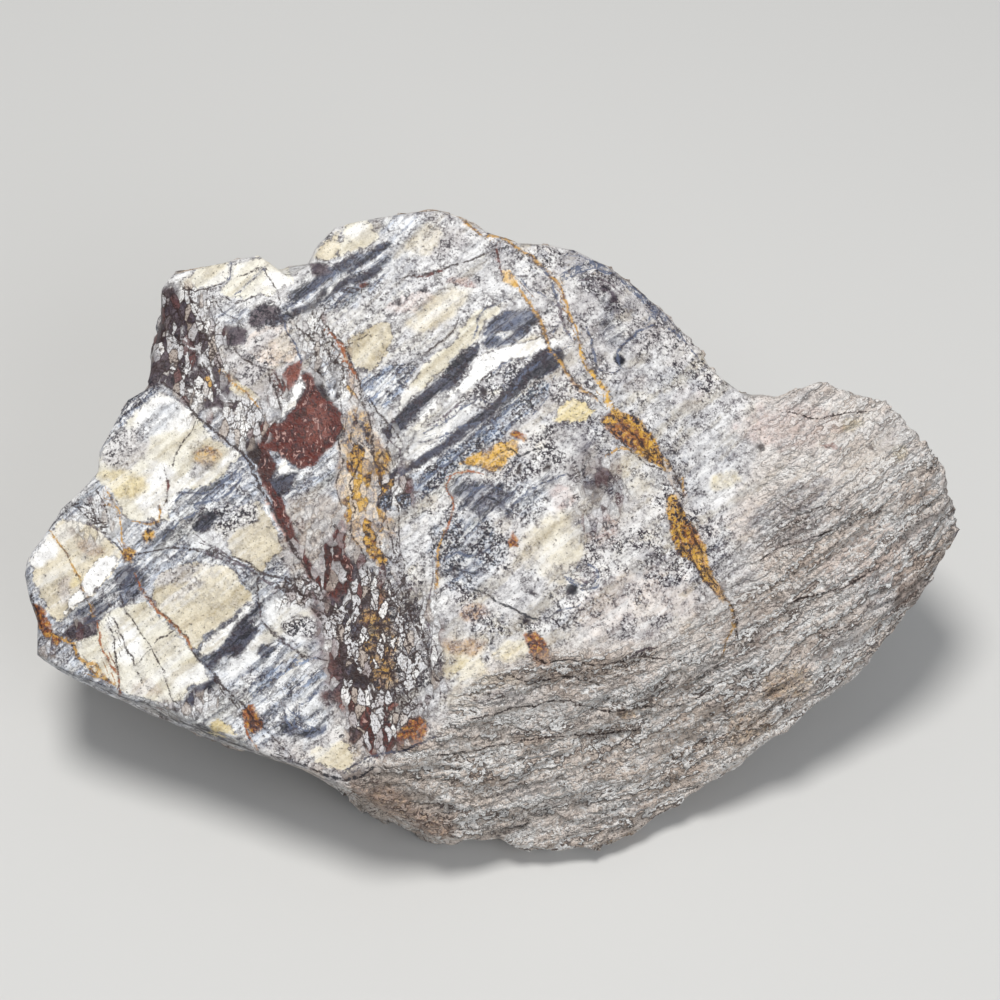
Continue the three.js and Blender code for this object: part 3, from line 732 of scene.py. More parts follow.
# Large shapes: tone, then the x and y of each corner in pixels of the photograph. The first ones lie on the
# sawn corner block, then come the upper left and the zone between the sawn blocks, then the right
blocks = {
    "firstCream": ("porcelain", 96, 478, 100, 452, 110, 438, 125, 420, 135, 412, 150, 402, 160, 392, 170, 397,
        182, 402, 190, 408, 197, 416, 205, 425, 215, 438, 225, 446, 235, 449, 240, 456, 228, 468, 218, 478,
        205, 484, 195, 488, 185, 492, 176, 500, 172, 510, 169, 521, 160, 521, 150, 518, 135, 520, 122, 513,
        118, 502, 110, 490),
    "leftCream": ("ivory", 28, 560, 40, 550, 52, 532, 65, 520, 80, 520, 97, 527, 112, 540, 121, 552, 117, 565,
        110, 577, 100, 587, 90, 597, 75, 610, 62, 620, 55, 622, 47, 612, 40, 597, 30, 582),
    "strawBlock": ("straw", 162, 570, 178, 565, 195, 560, 215, 561, 230, 565, 238, 580, 248, 592, 251, 602,
        241, 610, 232, 620, 217, 628, 205, 633, 199, 645, 195, 650, 187, 638, 178, 628, 165, 618, 155, 605,
        151, 592, 155, 578),
    "fanCream": ("porcelain", 122, 605, 145, 600, 165, 620, 190, 645, 205, 667, 212, 680, 190, 685, 182, 700,
        155, 704, 135, 697, 122, 692, 100, 675, 77, 655, 75, 645, 97, 627, 105, 614),
    "rightSand": ("sand", 238, 506, 257, 499, 266, 512, 276, 530, 283, 548, 268, 562, 262, 572, 246, 563, 232,
        553, 226, 544, 236, 532, 240, 518),
    "paleYellow": ("ivory", 308, 747, 330, 743, 348, 741, 354, 755, 351, 771, 335, 768, 314, 761),
    "whiteFringe": ("white", 252, 603, 257, 608, 246, 620, 236, 630, 222, 642, 211, 651, 201, 655, 199, 648,
        206, 636, 217, 630, 233, 622, 242, 612),
    "crackledPlum": ("plum", 163, 290, 172, 285, 180, 288, 187, 302, 196, 322, 206, 340, 216, 360, 226, 376,
        236, 396, 246, 412, 238, 418, 222, 407, 206, 408, 198, 414, 190, 402, 176, 391, 160, 386, 146, 391,
        144, 362, 150, 340, 156, 318),
    "topCreamA": ("porcelain", 179, 287, 187, 275, 202, 265, 227, 261, 229, 280, 212, 287, 190, 290),
    "topCreamB": ("porcelain", 230, 265, 247, 261, 260, 255, 276, 259, 288, 270, 292, 279, 281, 286, 266, 296,
        248, 300, 226, 301, 221, 290, 229, 282),
    "topChip": ("white", 166, 284, 170, 277, 184, 273, 180, 281, 172, 287),
    "fanChip": ("ivory", 314, 254, 321, 240, 336, 231, 341, 242, 337, 255, 329, 260, 317, 259),
    "crownCream": ("porcelain", 346, 224, 360, 219, 372, 223, 378, 240, 366, 247, 347, 253, 337, 257, 341,
        243),
    "agatePink": ("shell", 244, 348, 249, 334, 264, 326, 282, 318, 290, 325, 292, 340, 298, 353, 292, 364,
        275, 366, 258, 360),
    "agateIvory": ("fog", 222, 350, 234, 349, 246, 360, 262, 368, 276, 374, 270, 388, 262, 398, 246, 388, 232,
        376, 224, 362),
    "redBody": ("blood", 302, 374, 312, 374, 320, 389, 332, 402, 340, 412, 341, 428, 335, 441, 326, 451, 313,
        467, 301, 471, 290, 463, 280, 455, 270, 451, 267, 437, 280, 423, 288, 414, 298, 400, 303, 388),
    "redTop": ("brick", 279, 379, 290, 367, 302, 360, 301, 373, 295, 384, 288, 398, 281, 392),
    "redLeft": ("blood", 251, 441, 263, 421, 276, 422, 275, 437, 270, 452, 279, 465, 275, 480, 284, 500, 290,
        520, 298, 540, 312, 566, 322, 585, 314, 588, 300, 566, 288, 545, 278, 520, 268, 492, 258, 470),
    "secondRed": ("blood", 341, 519, 349, 527, 346, 540, 344, 552, 352, 566, 350, 588, 338, 599, 322, 596,
        314, 577, 320, 562, 319, 550, 327, 536),
    "thirdRed": ("brick", 338, 706, 345, 690, 357, 686, 368, 690, 380, 700, 398, 706, 388, 714, 374, 712, 364,
        722, 352, 724, 342, 716),
    "lowRed": ("blood", 362, 718, 376, 712, 388, 722, 400, 736, 404, 748, 392, 758, 374, 760, 366, 742),
    "lowOrange": ("rust", 399, 736, 408, 722, 422, 718, 430, 728, 424, 742, 410, 752, 400, 750),
    "goldSeam": ("ochre", 343, 442, 352, 430, 357, 446, 364, 462, 366, 474, 374, 468, 384, 476, 398, 478, 404,
        486, 392, 494, 380, 498, 378, 512, 374, 524, 382, 536, 380, 548, 388, 560, 376, 568, 368, 556, 358,
        550, 352, 534, 348, 516, 352, 500, 344, 486, 350, 470, 344, 456),
    "speckledCream": ("chalk", 333, 340, 340, 332, 355, 323, 380, 310, 398, 299, 420, 289, 450, 284, 480, 291,
        500, 299, 488, 305, 470, 318, 455, 330, 440, 342, 430, 352, 415, 358, 395, 366, 375, 374, 360, 372,
        350, 362, 340, 350),
    "creamBand": ("porcelain", 398, 416, 396, 408, 402, 397, 417, 380, 425, 365, 440, 355, 455, 340, 465, 325,
        475, 312, 487, 304, 502, 300, 500, 310, 487, 320, 481, 335, 467, 347, 454, 360, 442, 374, 426, 390,
        412, 402),
    "whiteBand": ("white", 412, 424, 426, 409, 442, 396, 456, 386, 466, 372, 480, 357, 505, 347, 540, 335,
        560, 340, 555, 350, 530, 351, 515, 361, 492, 371, 475, 381, 460, 392, 440, 402, 425, 417, 412, 434),
    "bandTwo": ("night", 366, 488, 388, 475, 411, 461, 432, 448, 452, 433, 472, 420, 489, 406, 503, 390, 518,
        374, 532, 356, 546, 345, 562, 346, 568, 356, 558, 366, 540, 372, 527, 384, 510, 402, 492, 417, 474,
        432, 455, 445, 434, 459, 412, 471, 390, 486, 371, 497),
    "blueBand": ("denim", 376, 497, 394, 486, 414, 474, 436, 461, 458, 447, 478, 432, 496, 418, 514, 402, 530,
        386, 544, 378, 552, 386, 544, 398, 530, 412, 514, 428, 500, 440, 478, 450, 458, 464, 446, 480, 426,
        494, 404, 508, 384, 512),
    "yellowWedge": ("gold", 459, 463, 472, 455, 487, 450, 500, 442, 518, 440, 517, 450, 508, 457, 501, 467,
        490, 472, 480, 466, 470, 464),
    "creamPatch": ("paleGold", 553, 421, 559, 404, 572, 396, 585, 401, 593, 412, 586, 421, 570, 423),
    "veinPatch": ("ochre", 602, 420, 615, 411, 630, 416, 642, 420, 648, 430, 658, 445, 663, 457, 671, 466,
        666, 472, 650, 462, 635, 451, 620, 441, 607, 431),
    "veinLow": ("ochre", 667, 498, 678, 496, 686, 519, 696, 530, 702, 543, 711, 565, 717, 580, 728, 600, 722,
        601, 707, 581, 695, 563, 677, 556, 670, 540, 668, 522),
    "goldBlob": ("gold", 500, 272, 506, 268, 514, 276, 518, 284, 510, 284, 502, 279),
}

# Small shapes over the blocks, written the same way
chips = {
    "leftWhite": ("white", 78, 588, 84, 572, 96, 560, 112, 556, 118, 562, 108, 576, 94, 592, 74, 610, 60, 618,
        66, 606),
    "darkLens": ("night", 190, 528, 196, 518, 204, 509, 215, 508, 216, 516, 208, 524, 205, 532, 196, 534),
    "stripLine": ("plum", 64, 634, 72, 624, 88, 618, 98, 622, 96, 634, 84, 640, 70, 641),
    "lowPlum": ("night", 206, 664, 212, 653, 222, 645, 230, 632, 244, 618, 256, 602, 262, 606, 250, 624, 262,
        632, 252, 646, 240, 658, 226, 652, 214, 668),
    "lowInk": ("night", 182, 702, 190, 690, 204, 682, 216, 676, 220, 682, 210, 692, 200, 700, 192, 706),
    "chipInside": ("greyGrain", 284, 622, 296, 616, 308, 618, 318, 628, 310, 636, 294, 637, 284, 631),
    "rustCorner": ("rust", 243, 708, 251, 704, 258, 714, 263, 726, 254, 734, 246, 726, 241, 716),
    "goldSpot": ("ochre", 144, 534, 150, 526, 157, 530, 154, 540, 146, 541),
    "goldNode": ("ochre", 120, 552, 128, 546, 136, 552, 130, 561, 123, 560),
    "rimRust": ("rust", 33, 602, 40, 606, 46, 618, 52, 632, 64, 640, 56, 644, 44, 636, 36, 622),
    "lowGold": ("paleGold", 206, 724, 218, 720, 230, 726, 236, 736, 222, 736, 210, 731),
    "blueStripeA": ("blue", 244, 700, 250, 686, 268, 672, 288, 660, 299, 656, 294, 666, 276, 680, 258, 694),
    "blueStripeB": ("blue", 283, 690, 292, 680, 306, 674, 326, 668, 328, 676, 312, 684, 300, 690, 288, 698),
    "blueStripeC": ("slate", 272, 728, 284, 724, 300, 731, 318, 727, 326, 722, 324, 732, 306, 738, 286, 737),
    "darkPatch": ("slate", 258, 655, 264, 647, 274, 645, 278, 650, 270, 658, 262, 660),
    "wedgeGrey": ("plum", 245, 323, 251, 311, 264, 304, 281, 306, 278, 317, 265, 325, 251, 329),
    "patchGrey": ("plum", 211, 333, 224, 329, 240, 326, 248, 330, 245, 341, 232, 348, 217, 346),
    "inkBandA": ("night", 266, 325, 280, 313, 298, 305, 316, 297, 324, 286, 330, 290, 322, 303, 304, 314, 290,
        322, 274, 328),
    "inkBandB": ("slate", 280, 299, 286, 290, 302, 284, 318, 277, 332, 267, 342, 264, 334, 276, 316, 287, 298,
        296),
    "inkBandC": ("slate", 336, 262, 352, 254, 368, 250, 386, 240, 392, 246, 378, 256, 366, 264, 348, 270, 338,
        272),
    "inkBandD": ("night", 330, 284, 346, 276, 364, 270, 380, 266, 384, 272, 366, 280, 348, 284, 334, 292),
    "crownShade": ("plum", 308, 262, 320, 260, 331, 263, 334, 272, 322, 276, 312, 276),
    "whiteSplinter": ("white", 300, 378, 304, 388, 297, 402, 288, 415, 280, 422, 283, 408, 292, 395),
    "whiteTriangle": ("white", 277, 471, 286, 459, 290, 466, 301, 473, 281, 476),
    "darkWedge": ("night", 272, 480, 280, 476, 301, 473, 296, 484, 288, 496, 280, 498),
    "bladeShadeA": ("umber", 312, 363, 322, 359, 324, 384, 333, 402, 322, 394, 314, 378),
    "bladeShadeB": ("umber", 331, 361, 340, 360, 342, 380, 341, 398, 335, 399),
    "paleBlade": ("paleBlue", 325, 359, 332, 364, 337, 380, 337, 397, 328, 388, 323, 373),
    "whiteCell": ("white", 341, 372, 347, 380, 349, 396, 343, 400, 341, 388),
    "goldTop": ("ochre", 351, 372, 358, 376, 366, 388, 362, 398, 353, 396, 348, 384),
    "goldMiddle": ("gold", 348, 470, 360, 474, 372, 486, 374, 506, 362, 520, 350, 508, 344, 490),
    "netGold": ("ochre", 203, 380, 212, 378, 214, 392, 206, 398),
    "whiteLump": ("white", 232, 424, 244, 418, 256, 424, 250, 436, 240, 444, 233, 436),
    "darkRedKnot": ("umber", 244, 444, 254, 438, 262, 452, 258, 466, 248, 456),
    "chipShadow": ("taupe", 326, 520, 338, 506, 348, 504, 344, 516, 334, 526, 324, 534),
    "darkLowA": ("umber", 352, 662, 362, 656, 370, 668, 368, 686, 356, 684, 348, 676),
    "speckledSand": ("straw", 341, 342, 358, 332, 380, 322, 392, 326, 394, 340, 386, 358, 373, 373, 360, 371,
        350, 358),
    "blueQuilt": ("blue", 360, 384, 372, 374, 392, 367, 412, 364, 418, 370, 406, 386, 398, 398, 388, 408, 376,
        406, 366, 396),
    "inkBand": ("night", 379, 428, 388, 420, 402, 408, 420, 396, 440, 381, 452, 362, 463, 350, 483, 339, 479,
        352, 466, 368, 456, 385, 441, 397, 426, 410, 411, 419, 396, 432, 384, 441),
    "inkBandTip": ("slate", 484, 340, 494, 332, 506, 338, 518, 328, 530, 322, 528, 330, 514, 342, 500, 348,
        488, 350),
    "bluePocket": ("slate", 485, 331, 494, 317, 505, 310, 521, 305, 531, 307, 536, 317, 527, 325, 515, 332,
        500, 330, 492, 338),
    "inkBlotA": ("ink", 500, 314, 512, 308, 520, 310, 512, 318, 502, 320),
    "inkBlotB": ("ink", 520, 318, 528, 312, 536, 318, 530, 324, 522, 324),
    "darkLensRight": ("night", 526, 371, 537, 362, 550, 355, 566, 350, 562, 365, 550, 375, 536, 378),
    "brownDrop": ("umber", 479, 390, 482, 386, 487, 389, 485, 397, 480, 398),
    "redSpotA": ("blood", 356, 284, 362, 282, 368, 284, 364, 288, 358, 288),
    "redSpotB": ("umber", 395, 301, 399, 299, 400, 306, 396, 308),
    "rustTip": ("rust", 511, 436, 518, 431, 527, 438, 528, 443, 518, 441),
    "lensA": ("umber", 514, 470, 520, 463, 524, 462, 521, 471, 515, 474),
    "lensB": ("umber", 541, 466, 548, 463, 553, 463, 549, 471, 543, 470),
    "rustPatch": ("rust", 523, 634, 532, 632, 540, 640, 549, 650, 552, 662, 540, 665, 529, 658, 524, 646),
    "brownDotA": ("rust", 506, 541, 514, 532, 518, 545, 510, 547),
    "brownDotB": ("umber", 519, 618, 525, 615, 529, 622, 523, 625),
    "darkDotA": ("ink", 527, 588, 533, 589, 538, 595, 531, 594),
    "darkDotB": ("ink", 563, 585, 572, 583, 579, 592, 572, 597, 565, 594),
    "lobeDotA": ("ink", 757, 443, 764, 442, 765, 449, 760, 453),
    "lobeDotB": ("ink", 810, 455, 815, 454, 815, 460, 811, 460),
    "lobeLens": ("brick", 823, 446, 834, 445, 843, 449, 832, 450),
    "lobeLensB": ("umber", 863, 446, 870, 445, 876, 451, 868, 450),
    "loopDot": ("ink", 614, 356, 620, 352, 626, 358, 622, 364, 617, 363),
    "purpleHook": ("plum", 597, 284, 606, 286, 618, 293, 620, 302, 613, 308, 612, 298, 602, 293),
    "cornerChip": ("fog", 322, 768, 334, 768, 346, 780, 356, 794, 350, 802, 338, 790, 326, 778),
}

# Lines and veins: tone, half width, then the x and y of each point
threads = {
    "creamCrackA": ("umber", 0.9, 197, 418, 191, 430, 182, 442, 176, 452, 172, 466),
    "creamCrackB": ("umber", 0.8, 164, 470, 167, 482, 167, 492, 168, 506),
    "creamCrackC": ("blood", 1.9, 166, 479, 168, 486, 167, 494),
    "creamCrackD": ("ochre", 1, 159, 504, 161, 512, 160, 520, 148, 521, 134, 520),
    "arcUpper": ("umber", 1.3, 135, 554, 147, 550, 163, 549, 200, 550, 226, 552, 246, 561, 262, 571, 282, 578,
        300, 579, 316, 585),
    "arcLower": ("plum", 0.9, 200, 551, 222, 557, 244, 566, 262, 577, 276, 588),
    "arcSpur": ("plum", 0.8, 196, 537, 206, 544, 222, 550),
    "sideCrack": ("umber", 0.9, 228, 559, 236, 574, 246, 586, 257, 596),
    "sideLink": ("umber", 1.2, 258, 571, 256, 583, 258, 596, 257, 606),
    "downCrack": ("umber", 1, 257, 602, 262, 620, 275, 637, 292, 650, 304, 657, 325, 659, 342, 660),
    "downCrackTwin": ("plum", 0.8, 258, 614, 268, 628, 284, 642, 300, 655),
    "diagonalTop": ("rust", 1.2, 133, 573, 140, 586, 147, 595, 156, 606, 170, 620, 187, 637, 196, 652),
    "diagonalEdge": ("umber", 0.7, 141, 584, 150, 596, 160, 608, 174, 622, 190, 639),
    "diagonal": ("umber", 1.4, 187, 638, 196, 654, 209, 666, 222, 682, 235, 696, 245, 706, 257, 722, 270, 736,
        280, 746, 291, 758),
    "diagonalTwin": ("umber", 1, 211, 667, 219, 685, 231, 699, 241, 713),
    "rustFall": ("rust", 1, 246, 726, 249, 738, 256, 750),
    "blockCrack": ("ochre", 0.9, 52, 531, 65, 552, 75, 575, 82, 592, 92, 611, 97, 622),
    "blockCrackDark": ("umber", 0.7, 60, 544, 72, 568, 80, 590, 90, 608),
    "fanCrackA": ("rust", 1.1, 97, 622, 100, 642, 107, 660, 116, 674, 119, 696),
    "fanCrackB": ("umber", 0.9, 107, 620, 114, 633, 115, 650, 117, 677),
    "fanCrackC": ("umber", 0.8, 114, 617, 125, 645, 132, 667, 142, 683),
    "fanCrackD": ("umber", 0.9, 122, 596, 127, 610, 137, 630, 150, 650, 164, 671),
    "fanCrackE": ("umber", 0.8, 162, 674, 167, 686, 170, 698, 183, 706),
    "fanCrackF": ("umber", 0.5, 132, 667, 139, 659, 147, 650),
    "fanCrackG": ("umber", 0.6, 156, 643, 166, 636, 176, 630),
    "rustRun": ("ochre", 1.3, 45, 632, 60, 638, 74, 645, 77, 658, 96, 663, 106, 680),
    "rustRunB": ("ochre", 0.8, 74, 655, 88, 660, 98, 674, 112, 684),
    "rimLine": ("umber", 1, 30, 590, 34, 606, 40, 622, 43, 636),
    "topCrackA": ("umber", 0.9, 76, 505, 90, 518, 104, 531, 118, 545, 122, 553),
    "topCrackB": ("umber", 0.8, 91, 500, 97, 518, 108, 532, 114, 541),
    "topCrackC": ("umber", 0.7, 96, 488, 104, 502, 108, 522),
    "topCrackD": ("ink", 1.8, 72, 507, 82, 503, 92, 503),
    "topCrackE": ("plum", 0.7, 87, 523, 96, 529, 108, 533),
    "goldRun": ("ochre", 0.75, 106, 490, 114, 503, 120, 514, 122, 528, 123, 544, 127, 556),
    "goldRunB": ("ochre", 0.6, 108, 503, 116, 508, 121, 516),
    "nodeWebA": ("umber", 1.6, 276, 581, 284, 592, 296, 588, 308, 597, 317, 589),
    "nodeWebB": ("umber", 1.6, 284, 579, 296, 584, 304, 600, 298, 603),
    "nodeRayA": ("umber", 1, 300, 601, 314, 611, 322, 622, 328, 634),
    "nodeRayB": ("umber", 1, 312, 598, 326, 606, 340, 612, 358, 611),
    "nodeRayC": ("umber", 0.7, 316, 612, 330, 622, 342, 618),
    "inkStreakA": ("slate", 1.3, 176, 503, 186, 495, 200, 492, 216, 485, 232, 473),
    "inkStreakB": ("slate", 1.5, 196, 504, 212, 498, 226, 490, 242, 478),
    "inkStreakC": ("slate", 1.2, 206, 490, 222, 480, 236, 470),
    "inkStreakD": ("slate", 1.2, 160, 540, 172, 528, 186, 520, 198, 512),
    "inkStreakE": ("night", 1.6, 118, 590, 128, 578, 134, 566),
    "inkStreakF": ("night", 1.6, 70, 636, 84, 628, 98, 617, 112, 604),
    "swirlA": ("slate", 1.2, 291, 708, 289, 718, 294, 727, 304, 731, 318, 726),
    "swirlB": ("slate", 1, 297, 706, 295, 716, 300, 724, 310, 725),
    "swirlC": ("slate", 1, 282, 712, 283, 724, 292, 733),
    "swirlD": ("slate", 1.1, 300, 704, 312, 696, 322, 688),
    "swirlE": ("blue", 1.3, 262, 694, 280, 678, 300, 664, 318, 658),
    "swirlF": ("slate", 1.3, 252, 697, 268, 685, 284, 672, 297, 660),
    "stripEdge": ("ink", 0.8, 36, 661, 70, 671, 97, 681, 122, 697, 146, 705, 162, 717, 196, 725, 232, 742,
        256, 754, 300, 765),
    "plumEdge": ("umber", 1.6, 160, 384, 172, 389, 184, 398, 197, 415, 212, 427, 227, 442, 242, 452),
    "redEdge": ("umber", 2.6, 240, 450, 252, 464, 260, 484, 268, 502, 280, 522, 292, 546, 304, 566, 316, 584),
    "copperLine": ("rose", 1.5, 264, 498, 271, 510, 278, 524, 288, 540),
    "copperCore": ("white", 0.9, 262, 500, 268, 512, 276, 526),
    "brownRim": ("umber", 1.6, 187, 287, 192, 307, 200, 325, 207, 342, 217, 362, 227, 377),
    "goldRim": ("ochre", 0.9, 222, 372, 232, 382, 245, 393, 258, 407),
    "plumCrackA": ("chalk", 0.7, 178, 320, 181, 336, 186, 348, 184, 366, 190, 384),
    "plumCrackB": ("umber", 0.9, 160, 334, 170, 344, 182, 346, 192, 356, 200, 372),
    "plumCrackC": ("umber", 0.9, 154, 366, 166, 372, 180, 374, 194, 386, 206, 396),
    "plumCrackD": ("umber", 1, 172, 290, 176, 308, 180, 326, 176, 344),
    "plumCrackE": ("chalk", 0.9, 190, 350, 198, 352, 202, 362, 196, 370),
    "plumCrackF": ("umber", 1, 196, 328, 202, 350, 214, 372, 216, 392),
    "plumCrackG": ("chalk", 0.7, 206, 362, 212, 378, 222, 392, 230, 402),
    "topCrackAUpper": ("umber", 0.9, 180, 289, 196, 291, 212, 288, 226, 283),
    "topCrackBUpper": ("slate", 0.8, 229, 262, 230, 274, 228, 284),
    "topCrackCUpper": ("umber", 0.8, 239, 277, 252, 271, 266, 264),
    "topCrackDUpper": ("umber", 0.8, 261, 268, 266, 278, 274, 288, 279, 302),
    "topCrackEUpper": ("umber", 0.6, 212, 290, 214, 300, 220, 312, 236, 322),
    "topCrackF": ("umber", 0.6, 208, 294, 206, 306, 212, 320),
    "topCrackG": ("slate", 0.8, 236, 296, 246, 288, 256, 276, 262, 268),
    "topCrackH": ("umber", 0.7, 222, 300, 236, 306, 252, 300, 268, 296),
    "agateEdge": ("slate", 1.1, 286, 318, 289, 332, 297, 350, 301, 362),
    "agateLine": ("umber", 0.9, 232, 347, 240, 357, 257, 365, 276, 372),
    "netA": ("umber", 1, 312, 308, 316, 322, 311, 338, 318, 350, 312, 366),
    "netB": ("umber", 1, 326, 306, 320, 322, 326, 338, 318, 352, 306, 360),
    "netC": ("umber", 1.2, 327, 318, 334, 332, 345, 348, 354, 368, 362, 384, 368, 400),
    "netD": ("rust", 2.2, 331, 330, 340, 346, 350, 364, 358, 380),
    "netE": ("umber", 0.8, 335, 338, 328, 350, 334, 362),
    "netF": ("umber", 0.8, 300, 328, 312, 336, 326, 338),
    "netG": ("umber", 0.9, 344, 350, 338, 360, 346, 374, 340, 386),
    "redStrokeA": ("umber", 1.6, 267, 372, 272, 386, 279, 400, 282, 414),
    "redStrokeB": ("blood", 1.6, 273, 370, 277, 382, 283, 396),
    "seamEdgeA": ("umber", 1.3, 362, 392, 368, 412, 372, 432, 370, 452, 378, 474, 384, 496),
    "seamEdgeB": ("umber", 1, 340, 402, 342, 420, 336, 440, 340, 462, 336, 484, 340, 505),
    "seamEdgeC": ("umber", 1, 352, 420, 350, 440, 356, 462, 350, 484, 356, 508, 352, 530, 362, 556),
    "streakA": ("umber", 1, 372, 398, 378, 412, 390, 424, 398, 440),
    "streakB": ("umber", 1, 380, 420, 386, 434, 384, 450, 392, 470),
    "streakC": ("plum", 0.9, 362, 424, 366, 444, 374, 462, 376, 480),
    "streakD": ("plum", 0.8, 388, 436, 396, 452, 400, 468, 396, 480),
    "streakE": ("umber", 0.8, 360, 440, 370, 456, 382, 470, 392, 478),
    "redLineLow": ("umber", 1.6, 316, 584, 326, 600, 334, 622, 340, 648, 344, 676, 352, 700),
    "longA": ("umber", 1.3, 398, 505, 400, 540, 404, 570, 406, 600, 414, 625, 425, 650, 440, 680),
    "longB": ("umber", 1.1, 386, 505, 388, 530, 396, 556, 402, 580, 420, 612, 424, 640, 430, 664),
    "longC": ("umber", 1, 378, 540, 384, 566, 392, 590, 400, 620, 408, 650, 420, 684),
    "longD": ("umber", 1.2, 362, 570, 372, 600, 378, 630, 384, 660, 392, 690, 402, 715),
    "longE": ("umber", 1, 356, 600, 352, 620, 358, 640, 352, 660, 360, 684),
    "longF": ("umber", 1, 340, 620, 346, 636, 340, 650, 352, 664, 364, 676, 374, 700, 380, 720),
    "longG": ("plum", 0.9, 430, 560, 432, 590, 428, 620, 436, 650, 446, 678),
    "crossA": ("umber", 0.9, 356, 620, 368, 628, 382, 622, 396, 632, 408, 628),
    "crossB": ("umber", 0.9, 352, 650, 366, 644, 380, 652, 394, 648, 410, 656, 422, 650),
    "crossC": ("umber", 0.9, 362, 590, 374, 584, 386, 592, 400, 586),
    "crossD": ("umber", 0.9, 366, 682, 380, 674, 394, 684, 408, 678, 420, 690),
    "crossE": ("umber", 0.8, 372, 560, 384, 554, 396, 562, 408, 556),
    "crossF": ("umber", 1, 398, 690, 404, 702, 414, 708, 424, 704, 430, 716),
    "crossG": ("umber", 0.8, 338, 668, 346, 676, 358, 672, 368, 682),
    "fringeLow": ("night", 1.3, 346, 770, 362, 760, 380, 756, 400, 752, 420, 744, 440, 736),
    "crownBrown": ("umber", 1.3, 398, 278, 415, 275, 440, 271, 465, 262, 480, 256, 498, 249),
    "crownBrownB": ("blood", 1.8, 414, 277, 428, 275, 444, 272),
    "lensRing": ("umber", 1, 340, 290, 348, 287, 357, 289, 350, 293, 341, 291),
    "plumLine": ("umber", 1.6, 424, 357, 436, 348, 447, 336, 455, 328, 461, 320),
    "creamCrack": ("slate", 0.9, 500, 300, 486, 307, 480, 320, 476, 336),
    "creamTwig": ("umber", 0.6, 348, 345, 356, 340, 366, 334),
    "darkDotted": ("night", 3, 398, 478, 410, 468, 422, 459, 438, 447, 456, 436),
    "darkCurve": ("slate", 1.3, 479, 400, 490, 405, 504, 400, 515, 386, 528, 369, 540, 360, 556, 350, 572,
        349),
    "dropTail": ("umber", 1, 482, 386, 480, 380, 486, 374),
    "greyLineA": ("slate", 0.7, 420, 432, 436, 424, 452, 418, 470, 404, 478, 396),
    "greyLineB": ("slate", 0.7, 418, 440, 440, 436, 460, 428, 480, 424, 498, 416),
    "greyLineC": ("plum", 0.7, 424, 424, 444, 416, 462, 402, 474, 392),
    "greyLineD": ("slate", 0.7, 492, 376, 504, 366, 518, 360, 530, 354),
    "greyLineE": ("fog", 0.9, 530, 400, 540, 388, 548, 376, 554, 384, 548, 396),
    "greyLineF": ("slate", 0.7, 536, 414, 546, 400, 552, 388, 556, 378),
    "blueStreakA": ("slate", 1.2, 420, 484, 436, 472, 452, 458, 470, 446),
    "blueStreakB": ("slate", 1.2, 470, 440, 488, 428, 504, 416, 518, 400),
    "rustHookA": ("rust", 1.1, 450, 477, 457, 472, 468, 470, 478, 472),
    "rustHookB": ("rust", 1, 452, 475, 447, 486, 451, 496, 454, 508, 450, 522, 442, 536),
    "rustHookC": ("ochre", 1.3, 444, 528, 438, 548, 436, 566, 438, 590),
    "veinStart": ("blood", 2.2, 498, 248, 499, 258, 501, 270),
    "veinA": ("ochre", 1.42, 514, 280, 522, 290, 530, 301, 537, 314, 543, 330, 552, 350),
    "veinAEdge": ("umber", 0.7, 518, 290, 528, 303, 534, 316, 541, 332, 549, 348),
    "veinALow": ("ochre", 1.2, 556, 350, 564, 366, 575, 384, 587, 394, 600, 404),
    "veinALowEdge": ("umber", 0.8, 560, 352, 568, 370, 580, 388, 594, 397, 604, 410),
    "veinTip": ("ochre", 1.12, 451, 214, 464, 221, 474, 231, 482, 238),
    "veinTipEdge": ("umber", 0.7, 466, 222, 476, 234, 490, 242),
    "veinTop": ("ochre", 1.12, 486, 237, 504, 238, 515, 246, 530, 255, 541, 266),
    "veinTopEdge": ("umber", 1, 506, 242, 518, 250, 532, 260, 544, 272, 552, 280),
    "veinB": ("ochre", 1.2, 541, 266, 551, 277, 560, 288, 565, 305, 571, 321, 578, 335),
    "veinBLow": ("gold", 1.72, 576, 330, 582, 350, 588, 365, 595, 377, 600, 390, 606, 403, 616, 414),
    "veinBEdge": ("umber", 0.8, 580, 338, 587, 352, 594, 368, 601, 380, 606, 394, 614, 406),
    "veinTwin": ("slate", 1.2, 535, 262, 548, 276, 554, 292, 560, 312, 566, 330, 571, 340),
    "veinTwinB": ("plum", 1.8, 554, 298, 561, 314, 568, 334),
    "veinTwinC": ("slate", 0.8, 520, 276, 530, 288, 542, 292, 552, 304),
    "veinLinkA": ("slate", 0.8, 544, 330, 552, 330, 558, 324),
    "veinSide": ("slate", 0.9, 585, 325, 592, 340, 597, 358, 602, 370, 613, 373, 620, 366),
    "darkLoop": ("slate", 1.5, 656, 326, 642, 331, 627, 341, 618, 352, 620, 364),
    "darkLoopB": ("slate", 0.8, 648, 322, 650, 314, 656, 322),
    "rimArcA": ("slate", 1.5, 562, 274, 574, 267, 592, 262, 610, 266, 626, 276, 640, 290, 654, 304),
    "rimArcB": ("slate", 1.1, 560, 281, 576, 273, 594, 268, 612, 273, 628, 284, 644, 300, 660, 318, 676, 336),
    "rimArcC": ("greyGrain", 1, 556, 268, 572, 260, 592, 256, 614, 262, 634, 276, 652, 294),
    "rimArcD": ("slate", 0.8, 640, 286, 656, 303, 672, 322, 688, 344, 700, 358),
    "rimArcE": ("slate", 0.8, 648, 300, 664, 319, 680, 340),
    "rimArcF": ("plum", 0.9, 578, 282, 594, 279, 610, 283, 624, 294),
    "rimArcG": ("slate", 0.8, 560, 258, 568, 250, 580, 256, 592, 262),
